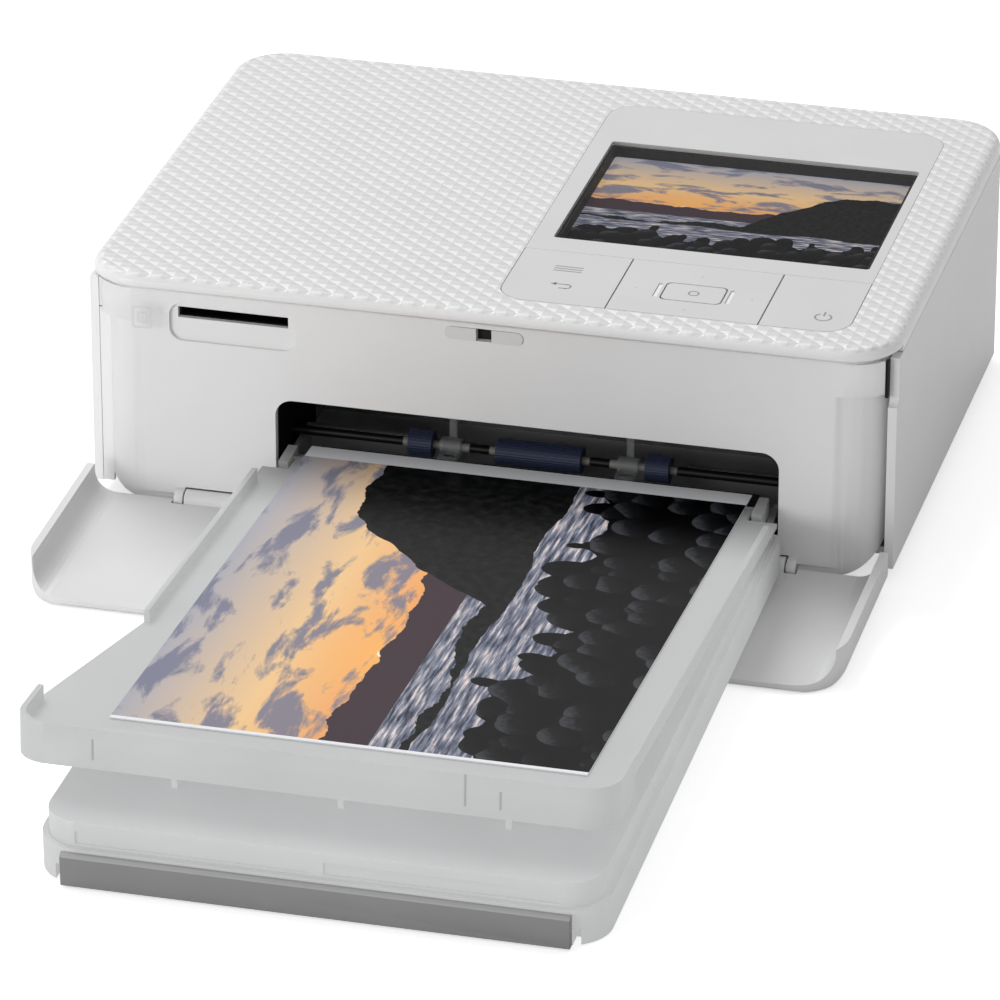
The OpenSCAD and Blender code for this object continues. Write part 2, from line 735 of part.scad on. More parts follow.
module pad_carrier() color("lightgray") in_place() difference() {
    union() {
        translate([0, 0, carrier_z]) linear_extrude(carrier_t)
            round_rect(pad_x - 8, pad_x + 8, ok_y - pad_switch_y - 2, ok_y + pad_switch_y + 2, 1);
        for (side = [-1, 1]) translate([pad_x, ok_y + side * 8.2, carrier_z + carrier_t])
            rotate([90, 0, 0]) cylinder(3, rocker_r, rocker_r, center = true);
    }
    rod_z(pad_x, ok_y, 0, far, ok_stem_r + 0.6);
}

module direction_pad() color("white") in_place() difference() {
    union() {
        key_plate(pad_x0, pad_x1);
        for (side = [-1, 1]) rod_z(pad_x + side * pad_pin_x, ok_y, plunger_z, body_h - key_t, 1.2);
    }
    translate([0, 0, body_h - key_t - 1]) linear_extrude(key_t + 2) {
        ok_outline(key_gap);
        for (side = [-1, 1])
            translate([pad_x + side * (ok_w / 2 + 1.5), ok_y]) rotate(90) stadium(ok_l - 1.2, 1);
    }
}

module ok_key() color("white") in_place() {
    translate([0, 0, body_h - key_t]) linear_extrude(key_t) ok_outline(0);
    rod_z(pad_x, ok_y, plunger_z, body_h - key_t, ok_stem_r);
}

// ---------- paper transport ----------

module paper_tunnel() color("black") in_place() difference() {
    union() {
        for (x = [opening_x0 - tunnel_t, opening_x1])
            block(x, x + tunnel_t, tunnel_y0, tunnel_y1, base_top + 0.1, opening_top + tunnel_t);
        block(opening_x0, opening_x1, tunnel_y0, tunnel_y1, opening_top, opening_top + tunnel_t);
        block(opening_x0, opening_x1, tunnel_y1 - tunnel_t, tunnel_y1, path_z + 5, opening_top);
        for (x = [-44:11:44])
            block(paper_x + x - 0.5, paper_x + x + 0.5, feed_y + 6, tunnel_y1 - 1, 23, opening_top);
    }
    rod_x(-half_w, half_w, feed_y, feed_z, feed_shaft_r + 0.6);
}

module shaft_holes(extra) {
    rod_x(-half_w, half_w, feed_y, feed_z, feed_shaft_r + extra);
    rod_x(-half_w, half_w, capstan_y, capstan_z, journal_r + extra);
    rod_x(-half_w, half_w, capstan_y, pinch_z, journal_r + extra);
    rod_x(-half_w, half_w, platen_y, platen_z, journal_r + extra);
}

module ribbon_outline(d) {
    for (y = [spool_y0, spool_y1]) translate([y, spool_z]) circle(spool_case_r + d);
    translate([spool_y0, spool_z + 2 - d]) square([spool_pitch, spool_case_r - 2 + 2 * d]);
}

module chassis_plates() color("slategray") in_place() difference() {
    union() {
        for (x = [plate_x0 - chassis_t, plate_x1])
            block(x, x + chassis_t, chassis_y0, chassis_y1, base_top, chassis_top);
        for (x = [plate_x0 - chassis_t - 9, plate_x1 + chassis_t], y = chassis_screw_y)
            block(x, x + 9, y - chassis_foot / 2, y + chassis_foot / 2, base_top, base_top + chassis_t);
        block(plate_x0, plate_x1, chassis_y0 + 28, chassis_y1, chassis_top - chassis_t, chassis_top);
        block(plate_x0, plate_x1, chassis_y1 - chassis_t, chassis_y1, path_z + 6, chassis_top);
        block(plate_x0, plate_x1, 52, 58, base_top, base_top + chassis_t);
        block(plate_x0, plate_x1, 76, 96, path_z - 1.6, path_z - 0.6);
    }
    shaft_holes(shaft_clear + bush_wall);
    along_x(plate_x1 - 1, half_w) ribbon_outline(0.4);
    for (p = chassis_screws) rod_z(p[0], p[1], 0, 12, screw_r);
    rod_x(-half_w, plate_x0 + 1, idler_at[0], idler_at[1], idler_post_r);
}

module shaft_bushes() color("ivory") in_place() difference() {
    for (x = [plate_x0 - chassis_t, plate_x1 + chassis_t - bush_l]) intersection() {
        shaft_holes(shaft_clear + bush_wall - 0.02);
        block(x, x + bush_l, 0, body_d, 0, body_h);
    }
    shaft_holes(shaft_clear);
}

module splined_disc(r, count, depth) {
    points = [for (i = [0:count - 1], k = [0:3])
        let (a = 360 / count * (i + [0, 0.5, 0.55, 0.95][k]), q = r - (k > 1 ? depth : 0))
            [q * cos(a), q * sin(a)]];
    polygon(points);
}

module feed_roller(x, w) difference() {
    translate([x - w / 2, feed_y, feed_z]) rotate([0, 90, 0]) linear_extrude(w)
        splined_disc(feed_roller_r, 30, 0.3);
    rod_x(x - w, x + w, feed_y, feed_z, feed_shaft_r + 0.01);
}

module feed_rollers() color("midnightblue") in_place() {
    feed_roller(paper_x, feed_roller_mid_w);
    for (side = [-1, 1]) feed_roller(paper_x + side * feed_roller_side_x, feed_roller_side_w);
}

module feed_shaft() color("silver") in_place() rod_x(gear_x0, shaft_end, feed_y, feed_z, feed_shaft_r);

module exit_guides() color([0.8, 0.85, 0.9, 0.5]) in_place() for (side = [-1, 1]) {
    x = paper_x + side * guide_x;
    difference() {
        union() {
            rod_x(x - guide_w / 2, x + guide_w / 2, feed_y, feed_z, feed_shaft_r + 1);
            block(x - guide_w / 2, x + guide_w / 2, feed_y - 4.6, feed_y, feed_z - 1.6, feed_z - 0.8);
            block(x - 0.8, x + 0.8, feed_y + 1, feed_y + 2, feed_z, opening_top);
        }
        rod_x(x - guide_w, x + guide_w, feed_y, feed_z, feed_shaft_r + 0.3);
        block(x - guide_w / 2 + 0.9, x + guide_w / 2 - 0.9, feed_y - 3.8, feed_y - 1.4, 0, feed_z);
    }
}

module roller(r, len, y, z, x0, x1) {
    rod_x(paper_x - len / 2, paper_x + len / 2, y, z, r);
    rod_x(x0, x1, y, z, journal_r);
}

module capstan_roller() color("silver") in_place()
    roller(capstan_r, paper_w + 4, capstan_y, capstan_z, gear_x0, shaft_end);

module pinch_roller() color("dimgray") in_place()
    roller(pinch_r, paper_w + 2, capstan_y, pinch_z, plate_x0 - chassis_t, shaft_end - 1);

module platen_roller() color("dimgray") in_place()
    roller(platen_r, paper_w + 4, platen_y, platen_z, plate_x0 - chassis_t, shaft_end - 1);

module thermal_head() color("silver") in_place() {
    along_x(paper_x - paper_w / 2 - 2, paper_x + paper_w / 2 + 2) translate([platen_y, path_z + path_gap]) {
        polygon([[-0.8, 0], [0.8, 0], [3.6, 1.8], [3.6, 6], [-3.6, 6], [-3.6, 1.8]]);
        for (y = [-3.6:1.8:3.6]) translate([y < 3 ? y : y - 0.8, 6]) square([0.8, 7]);
        translate([-1, 6]) square([2, chassis_top - chassis_t - path_z - path_gap - 6]);
    }
}

// ---------- gears ----------

function inv_point(rb, t) = [rb * (cos(t) + t * PI / 180 * sin(t)), rb * (sin(t) - t * PI / 180 * cos(t))];
function inv_angle(rb, r) = let (t = sqrt(r * r / (rb * rb) - 1)) t * 180 / PI - atan(t);

// An involute spur gear, pressure angle 20 degrees, with one tooth's middle on the x axis.
module gear_2d(teeth) {
    pitch_r = gear_m * teeth / 2;
    base_r = pitch_r * cos(20);
    tip_r = pitch_r + 0.8 * gear_m;
    root_r = pitch_r - 1.1 * gear_m;
    half = 90 / teeth - gear_play / (4 * pitch_r) * 180 / PI + inv_angle(base_r, pitch_r);
    roll = sqrt(tip_r * tip_r / (base_r * base_r) - 1) * 180 / PI;
    flank = [for (i = [0:4]) turned(inv_point(base_r, roll * i / 4), -half)];
    tooth = concat([turned([root_r, 0], -half)], flank,
        [for (i = [4:-1:0]) [flank[i][0], -flank[i][1]]], [turned([root_r, 0], half)]);
    polygon([for (n = [0:teeth - 1], p = tooth) turned(p, n * 360 / teeth)]);
}

function gear_gap(a, b) = gear_m * (a + b) / 2;

// The idler sits where it meets both the feed gear and the capstan gear.
feed_at = [feed_y, feed_z];
capstan_at = [capstan_y, capstan_z];
train_d = norm(capstan_at - feed_at);
train_dir = (capstan_at - feed_at) / train_d;
idler_along = (pow(gear_gap(feed_teeth, idler_teeth), 2) - pow(gear_gap(capstan_teeth, idler_teeth), 2)
    + train_d * train_d) / (2 * train_d);
idler_off = sqrt(max(0, pow(gear_gap(feed_teeth, idler_teeth), 2) - idler_along * idler_along));
idler_at = feed_at + train_dir * idler_along + [-train_dir[1], train_dir[0]] * idler_off;
idler_post_r = 1;
motor_angle = 75;
motor_at = capstan_at + gear_gap(capstan_teeth, motor_teeth) * [cos(motor_angle), sin(motor_angle)];
motor_r = 10;
motor_room = 7.7;
motor_x1 = gear_x0 - 1.6;
motor_x0 = main_board_x + main_board_t + motor_room;

function heading(a, b) = atan2(b[1] - a[1], b[0] - a[0]);
// Turn of gear b that puts its tooth gap on gear a's tooth where the two meet.
function mesh_turn(a_at, a_teeth, a_turn, b_at, b_teeth) = let (h = heading(a_at, b_at))
    h + 180 - (0.5 - (h - a_turn) * a_teeth / 360) * 360 / b_teeth;

idler_turn = mesh_turn(capstan_at, capstan_teeth, 0, idler_at, idler_teeth);
feed_turn = mesh_turn(idler_at, idler_teeth, idler_turn, feed_at, feed_teeth);
motor_turn = mesh_turn(capstan_at, capstan_teeth, 0, motor_at, motor_teeth);

module gear(at, teeth, turn, bore) difference() {
    along_x(gear_x0, gear_x1) translate(at) rotate(turn) gear_2d(teeth);
    rod_x(-far, far, at[0], at[1], bore);
    hole_at = bore + 1.4 + gear_m * teeth / 8;
    if (teeth > 24) for (a = [0:60:300])
        rod_x(-far, far, at[0] + hole_at * cos(a), at[1] + hole_at * sin(a), 1.2);
}

module feed_gear() color("ivory") in_place() gear(feed_at, feed_teeth, feed_turn, feed_shaft_r + 0.01);

module capstan_gear() color("ivory") in_place() gear(capstan_at, capstan_teeth, 0, journal_r + 0.01);

module idler_gear() color("ivory") in_place()
    gear(idler_at, idler_teeth, idler_turn, idler_post_r + shaft_clear);

module idler_post() color("silver") in_place() {
    rod_x(gear_x0 - 0.6, plate_x0, idler_at[0], idler_at[1], idler_post_r - 0.01);
    rod_x(gear_x0 - 1, gear_x0 - 0.2, idler_at[0], idler_at[1], idler_post_r + 0.8);
}

module motor_pinion() color("goldenrod") in_place() {
    gear(motor_at, motor_teeth, motor_turn, idler_post_r / 2);
    rod_x(gear_x0 - 6, gear_x1 + 0.4, motor_at[0], motor_at[1], idler_post_r);
}

module feed_motor() color("silver") in_place() difference() {
    union() {
        rod_x(motor_x0, motor_x1, motor_at[0], motor_at[1], motor_r);
        block(motor_x1, motor_x1 + 1, motor_at[0] - motor_r - 4, motor_at[0] + motor_r + 4,
            motor_at[1] + 2, motor_at[1] + 9);
        for (side = [-1, 1])
            rod_x(motor_x1 + 0.6, plate_x0 - chassis_t,
                motor_at[0] + side * (motor_r + 2), motor_at[1] + 5.5, 1.6);
    }
    rod_x(gear_x0 - 7, far, motor_at[0], motor_at[1], idler_post_r + shaft_clear);
}

// ---------- ribbon ----------

function tangent_angle(p, c, r, side) = heading(p, c) + side * asin(r / norm(c - p));

head_y = 4.2;
film_t = 0.15;
film_z = path_z + 0.05;
film_gap = 0.3 + film_t / 2;
supply_at = [spool_y1, spool_z];
take_up_at = [spool_y0, spool_z];
supply_from = [platen_y + head_y, film_z + 1];
take_up_from = [platen_y - head_y, film_z + 1];
take_up_roll_r = spool_core_r + 1;

// A straight run of the film, t thick, from one point to where it meets a roll.
module film_run(from, to, r, side, t) translate(from) rotate(tangent_angle(from, to, r, side))
    translate([0, -t / 2]) square([sqrt(pow(norm(to - from), 2) - r * r), t]);

module film_runs(t) {
    film_run(supply_from, supply_at, full_roll_r + film_gap, 1, t);
    film_run(take_up_from, take_up_at, take_up_roll_r + film_gap, -1, t);
}

// The film's path under the thermal head.
trough = [[-head_y, 1], [-1, 0], [1, 0], [head_y, 1]];

module ribbon_film() color([0.5, 0.3, 0.55, 0.8]) in_place() along_x(roll_x0 + 1, roll_x1 - 1) {
    film_runs(film_t);
    translate([platen_y, film_z])
        polygon(concat(trough, [for (i = [3:-1:0]) trough[i] + [0, film_t]]));
}

module ribbon_cassette() color("dimgray") in_place() difference() {
    union() {
        along_x(roll_x0, roll_x1)
            for (y = [spool_y0, spool_y1]) translate([y, spool_z]) circle(spool_case_r);
        for (x = [ribbon_x0, roll_x1]) along_x(x, x == ribbon_x0 ? roll_x0 : ribbon_x1) difference() {
            ribbon_outline(0);
            translate([platen_y - 4, spool_z - 12]) square([8, 15]);
        }
    }
    along_x(roll_x0 + 0.5, roll_x1 - 0.5) {
        for (y = [spool_y0, spool_y1]) translate([y, spool_z]) circle(spool_case_r - spool_wall);
        film_runs(2);
    }
    for (y = [spool_y0, spool_y1]) rod_x(-half_w, roll_x1 + 4, y, spool_z, 2 + shaft_clear);
    block(ribbon_x1 - 8, ribbon_x1 + 1, spool_y0 + 8, spool_y1 - 8, spool_z + 4, far);
}

module spool(at, roll_r) {
    rod_x(roll_x0 + 0.8, roll_x1 - 0.8, at[0], at[1], roll_r);
    rod_x(ribbon_x0 + 0.4, roll_x1 + 3.6, at[0], at[1], 2);
}

module supply_spool() color("goldenrod") in_place() spool(supply_at, full_roll_r);

module take_up_spool() color("indigo") in_place() spool(take_up_at, take_up_roll_r);

// ---------- electronics ----------

module main_board() color("seagreen") in_place() {
    x = main_board_x + main_board_t;
    block(main_board_x, x, 22, body_d - 29, base_top, main_board_top);
    // Chips as distance from the rim, height and length, and two capacitors.
    for (chip = [[34, 14, 12], [58, 24, 10], [80, 12, 14], [44, 36, 8], [72, 38, 7]])
        block(x - 0.1, x + 1.4, chip[0], chip[0] + chip[2], chip[1], chip[1] + chip[2] * 0.8);
    for (y = [body_d - 43, body_d - 35]) rod_x(x - 0.1, x + 8, y, main_board_top - 9, 3);
}

module connector_board() color("seagreen") in_place() difference() {
    back = body_d - wall - seam;
    board_up = connector_z + main_board_t;
    union() {
        block(connector_x0, connector_x0 + connector_l, connector_y, back, connector_z, board_up);
        block(inlet_x - 5, inlet_x + 5, back - 12, back, board_up - 0.1, inlet_z + 4.6);
        block(usb_x - usb_w / 2 + 0.1, usb_x + usb_w / 2 - 0.1, back - 8, back,
            board_up - 0.1, usb_z + usb_h / 2);
    }
    translate([inlet_x, 0, inlet_z]) along_y(back - 10, body_d) circle(inlet_r - 0.6);
    translate([usb_x, 0, usb_z]) along_y(back - 6, body_d) stadium(usb_w - 1.2, usb_h - 1.2);
}

// The fan's own frame: its axis along z, z = 0 on its front face.
module in_fan() in_place()
    translate([fan_x, body_d - wall - seam - fan_t, fan_z]) rotate([-90, 0, 0]) children();

module fan_frame() color("dimgray") in_fan() {
    linear_extrude(fan_t) difference() {
        square([fan_w, fan_w], center = true);
        circle(fan_w / 2 - fan_wall);
    }
    translate([0, 0, fan_t - fan_spoke_t]) linear_extrude(fan_spoke_t) {
        circle(fan_hub_r);
        for (a = [0, 90]) rotate(a) square([fan_w - fan_wall, 1.6], center = true);
    }
    translate([0, 0, 1]) cylinder(fan_t - 2, fan_pin_r, fan_pin_r);
}

module fan_rotor() color("black") in_fan() translate([0, 0, 1]) difference() {
    union() {
        cylinder(fan_rotor_h, fan_hub_r - 0.4, fan_hub_r - 0.4);
        for (i = [0:6]) rotate([0, 0, i * 360 / 7]) translate([7.9, 0, fan_rotor_h / 2]) rotate([40, 0, 0])
            cube([8.4, fan_rotor_h, 0.7], center = true);
    }
    translate([0, 0, -1]) cylinder(fan_t, fan_pin_r + shaft_clear, fan_pin_r + shaft_clear);
}

// ---------- cassette ----------

// The cassette's plan outside the printer, set in by d.
module cassette_plan(d) round_rect(-cassette_w / 2 + d, cassette_w / 2 - d,
    -cassette_reach + d, mouth_y + 6, cassette_corner_r - d);

module cassette_outer(d) intersection() {
    cassette_plan(d);
    translate([-cassette_w, -far]) square([2 * cassette_w, far + mouth_y - d]);
}

module tail_plan(d, y1) translate([-mouth_w / 2 + d, -30]) square([mouth_w - 2 * d, y1 + 30 - d]);

module cassette_tray() color([0.85, 0.87, 0.88, 0.6]) in_cassette() difference() {
    union() {
        linear_extrude(cassette_step_h) {
            cassette_outer(0);
            tail_plan(0, high_wall_y);
        }
        linear_extrude(tail_wall_h) tail_plan(0, cassette_tail);
        rod_x(-mouth_w / 2, mouth_w / 2, lid_hinge_y, lid_hinge_z, 2.1);
    }
    translate([0, 0, tray_floor]) linear_extrude(far) {
        cassette_outer(tray_wall);
        tail_plan(tray_wall, cassette_tail);
    }
    rod_x(-half_w, half_w, lid_hinge_y, lid_hinge_z, lid_pin_r + shaft_clear);
    block(-feed_roller_side_x - 5, feed_roller_side_x + 5,
        cassette_tail - tray_wall - 1, cassette_tail + 1, 5.2, far);
    // Notches beside the front bar.
    for (x = [-bar_w / 2 - notch_w, bar_w / 2])
        block(x, x + notch_w, -cassette_reach - 1, -cassette_reach + 4, -1, 3.6);
}

module cassette_front_bar() color("gray") in_cassette()
    along_x(-bar_w / 2, bar_w / 2) translate([-cassette_reach - bar_t, 0])
        polygon([
            [0, 0.1], [bar_t, 0.1], [bar_t, bar_h + bar_bevel], [bar_bevel, bar_h + bar_bevel], [0, bar_h]
        ]);

// The lift plate's own frame: its hinge at the origin.
module in_lift() in_cassette()
    translate([0, lift_y0, tray_floor + 0.9]) rotate([lift_tilt, 0, 0]) children();

module lift_plate() color("silver") in_lift() {
    half = paper_w / 2 - 4;
    block(-half, half, 0, stack_l - 6, 0, lift_plate_t);
    rod_x(-half, half, 0, 0, lift_pin_r);
}

module paper_stack() color("white") in_lift()
    block(-paper_w / 2, paper_w / 2, 1, 1 + stack_l, lift_plate_t, lift_plate_t + stack_h);

// Everything under a plane that is level when the cassette is in the printer.
module under_lid(d) translate([0, mouth_y, cassette_step_h - d]) rotate([-cassette_pitch, 0, 0])
    block(-cassette_w, cassette_w, -far, far, -far, 0);

module cassette_lid() color([0.85, 0.87, 0.88, 0.6]) in_cassette() difference() {
    union() {
        intersection() {
            translate([0, 0, lid_skirt_z]) linear_extrude(far) cassette_outer(lid_inset);
            under_lid(0);
        }
        block(-arm_x1, arm_x1, mouth_y - lid_inset - 1, -1, cassette_step_h - lid_t, cassette_step_h);
        for (side = [-1, 1]) {
            x0 = side < 0 ? -arm_x1 : arm_x1 - arm_w;
            block(x0, x0 + arm_w, mouth_y - 3, lid_hinge_y, lid_hinge_z - 1, cassette_step_h - 0.7);
            rod_x(x0, x0 + arm_w, lid_hinge_y, lid_hinge_z, lid_knuckle_r);
            rod_x(side < 0 ? -mouth_w / 2 + 0.2 : x0, side < 0 ? x0 + arm_w : mouth_w / 2 - 0.2,
                lid_hinge_y, lid_hinge_z, lid_pin_r);
            // The shoulder that holds the output tray's pin.
            block(side < 0 ? x0 : x0 + arm_w - shoulder_w, side < 0 ? x0 + shoulder_w : x0 + arm_w,
                -3.4, 4.6, cassette_step_h - 1, output_pin_at[1] + output_pin_r + 1);
        }
        // Ribs that carry the output tray.
        for (x = [-35, 0, 35]) along_x(x - lid_rib_t / 2, x + lid_rib_t / 2) polygon([
            [lid_rib_y1, lid_skirt_z], [lid_rib_y1, under_output(lid_rib_y1) - 0.1],
            [lid_rib_y0, under_output(lid_rib_y0) - 0.1], [lid_rib_y0, lid_skirt_z]
        ]);
    }
    // Long recesses across the front.
    for (x = [[-bar_w / 2 + 2.5, -1.4], [1.4, bar_w / 2 - 2.5]])
        block(x[0], x[1], -cassette_reach, -cassette_reach + lid_inset + lid_t / 2,
            cassette_step_h + 0.5, cassette_step_h + 3.4);
    intersection() {
        translate([0, 0, -1]) linear_extrude(far) {
            cassette_outer(lid_inset + lid_t);
            translate([-arm_x1 + arm_w + 0.2, -30]) square([2 * (arm_x1 - arm_w - 0.2), 50]);
        }
        under_lid(lid_t);
        block(-far, far, -far, mouth_y + 2.9, -far, far);
    }
    rod_x(-half_w, half_w, output_pin_at[0], output_pin_at[1], output_pin_r + shaft_clear);
}

// ---------- output tray ----------

module output_floor() polygon([
    [-output_tail_w / 2, output_hinge_y], [output_tail_w / 2, output_hinge_y],
    [output_tail_w / 2, mouth_y - 2], [lip_right, mouth_y - 2],
    [lip_right, -output_reach], [-lip_left, -output_reach],
    [-lip_left, -output_reach + ear_l], [-output_left, -95], [-output_left, mouth_y - 2],
    [-output_tail_w / 2, mouth_y - 2]
]);

module lip_outline(d) round_rect(-lip_left + d, lip_right - d, -output_reach + d, 40, 7 - d);

module output_tray() color([0.85, 0.87, 0.88, 0.6]) in_output() {
    linear_extrude(output_t) intersection() {
        output_floor();
        lip_outline(0);
    }
    rod_x(-arm_x1, arm_x1, output_hinge_y, output_pin_r, output_pin_r);
    // Front lip with the ear at its left end.
    translate([0, 0, output_t + output_wall_h + 0.4 - lip_h]) linear_extrude(lip_h) difference() {
        lip_outline(0);
        lip_outline(tray_wall);
        translate([-far, -output_reach + ear_l]) square([2 * far, far]);
    }
    // Side walls.
    linear_extrude(output_t + output_wall_h) {
        translate([-output_left, -95]) square([tray_wall, 95 - 14]);
        translate([lip_right - tray_wall, -output_reach + 7]) square([tray_wall, output_reach - 7 - 14]);
    }
}

module printed_sheet() color("white") in_output()
    block(-paper_w / 2, paper_w / 2, sheet_y1 - sheet_l, sheet_y1,
        output_t + 0.2, output_t + 0.2 + sheet_t);

top_cover();
front_case();
left_side_panel();
rear_panel();
base_pan();
rubber_feet();
base_screws();
front_door();
front_door_pins();
latch_catch();
card_socket();
ribbon_door();
ribbon_door_pin();
control_bezel();
display_glass();
display_module();
panel_board();
menu_key();
pad_carrier();
direction_pad();
ok_key();
power_key();
paper_tunnel();
chassis_plates();
shaft_bushes();
exit_guides();
feed_shaft();
feed_rollers();
feed_gear();
idler_post();
idler_gear();
capstan_roller();
capstan_gear();
pinch_roller();
platen_roller();
thermal_head();
feed_motor();
motor_pinion();
ribbon_cassette();
supply_spool();
take_up_spool();
ribbon_film();
main_board();
connector_board();
fan_frame();
fan_rotor();
cassette_tray();
cassette_front_bar();
lift_plate();
paper_stack();
cassette_lid();
output_tray();
printed_sheet();
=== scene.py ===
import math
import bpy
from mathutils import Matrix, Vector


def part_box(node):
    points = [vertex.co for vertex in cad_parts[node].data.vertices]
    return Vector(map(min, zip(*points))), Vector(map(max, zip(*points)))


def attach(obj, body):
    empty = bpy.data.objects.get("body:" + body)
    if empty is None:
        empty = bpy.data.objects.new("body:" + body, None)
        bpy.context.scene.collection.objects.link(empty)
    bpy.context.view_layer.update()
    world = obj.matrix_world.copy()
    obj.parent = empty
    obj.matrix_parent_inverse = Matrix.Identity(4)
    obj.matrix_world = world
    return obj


bl_info = {
    "name": "Compact Photo Printer",
    "version": (1, 0, 0),
    "blender": (4, 5, 0),
    "location": "3D View > Sidebar > Printer",
    "description": "Finishes, marks, picture and stage of a compact photo printer",
    "category": "Add Mesh",
}

import bpy
from bpy.props import FloatProperty, FloatVectorProperty, PointerProperty

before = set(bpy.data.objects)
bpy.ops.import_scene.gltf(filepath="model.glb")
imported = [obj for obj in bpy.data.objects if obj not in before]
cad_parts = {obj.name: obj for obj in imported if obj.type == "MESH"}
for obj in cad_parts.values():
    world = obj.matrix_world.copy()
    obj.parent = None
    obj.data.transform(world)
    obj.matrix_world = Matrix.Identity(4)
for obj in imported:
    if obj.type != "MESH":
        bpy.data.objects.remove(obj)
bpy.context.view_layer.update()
MM = 0.001

BLACK = (0.0, 0.0, 0.0)
# Painted highlight: a lighter white for the left side wall's front end and the left corner strips.
PAINTED_HIGHLIGHT_WHITE = (0.86, 0.86, 0.862)
DOOR_PAINTED_SHADE = 0.93  # painted shade: the doors are painted darker than the case, where less light falls on them
CASE_MOTTLE = 0.012  # share by which the case's white varies
PICTURE_RATIO = 1.5  # length of the made-up view, its height being 1
PRINTED = dict(roughness=0.5, grain=0.1 * MM, depth=0.002 * MM)  # surface of the key marks
INK_THICKNESS = 0.006 * MM
FLOOR_GLOW = 0.56  # lifts the floor to white where it is seen


# ---------- settings ----------

def colour_prop(name, description, value):
    return FloatVectorProperty(
        name=name, description=description, default=value, subtype="COLOR", size=3, min=0, max=1
    )


def length_prop(name, description, value):
    return FloatProperty(
        name=name, description=description, default=value, subtype="DISTANCE", unit="LENGTH", min=0
    )


class FinishSettings(bpy.types.PropertyGroup):
    case_white: colour_prop("Case white", "Colour of the moulded housing", (0.74, 0.74, 0.742))
    panel_white: colour_prop("Panel white", "Colour of the control sheet", (0.64, 0.64, 0.642))
    ink_grey: colour_prop("Mark grey", "Colour of the key marks", (0.27, 0.28, 0.29))
    tray_tint: colour_prop("Tray tint", "Colour of the clear trays", (0.43, 0.433, 0.435))
    bar_grey: colour_prop("Bar grey", "Colour of the front bar", (0.21, 0.21, 0.212))
    roller_blue: colour_prop("Roller blue", "Colour of the feed rollers", (0.022, 0.030, 0.072))
    cell_width: length_prop("Relief width", "Width of one diamond of the relief on the top", 5.2 * MM)
    cell_length: length_prop("Relief length", "Length of one diamond of the relief on the top", 4.4 * MM)
    relief_depth: length_prop("Relief depth", "Height of a diamond of the relief on the top", 0.46 * MM)


class MarkSettings(bpy.types.PropertyGroup):
    power_radius: length_prop("Power mark", "Radius of the power mark", 2.0 * MM)
    mark_line: length_prop("Mark line", "Line width of the key marks", 0.42 * MM)
    menu_width: length_prop("Menu mark", "Width of the menu mark's bars", 6.4 * MM)
    dot_radius: length_prop("Direction dot", "Radius of a direction dot", 0.42 * MM)


class StageSettings(bpy.types.PropertyGroup):
    floor_size: length_prop("Floor", "Width of the pale floor", 6.0)
    ambient: FloatProperty(name="Ambient", description="Light from all round", default=0.57, min=0)
    key_power: FloatProperty(
        name="Key lamp", description="Power of the large soft lamp", default=16.0, min=0, unit="POWER"
    )
    fill_power: FloatProperty(
        name="Fill lamp", description="Power of the lamp at the front left", default=9.0, min=0,
        unit="POWER",
    )
    lens: FloatProperty(name="Lens", description="Focal length", default=262.1, min=50, unit="CAMERA")


# ---------- materials ----------

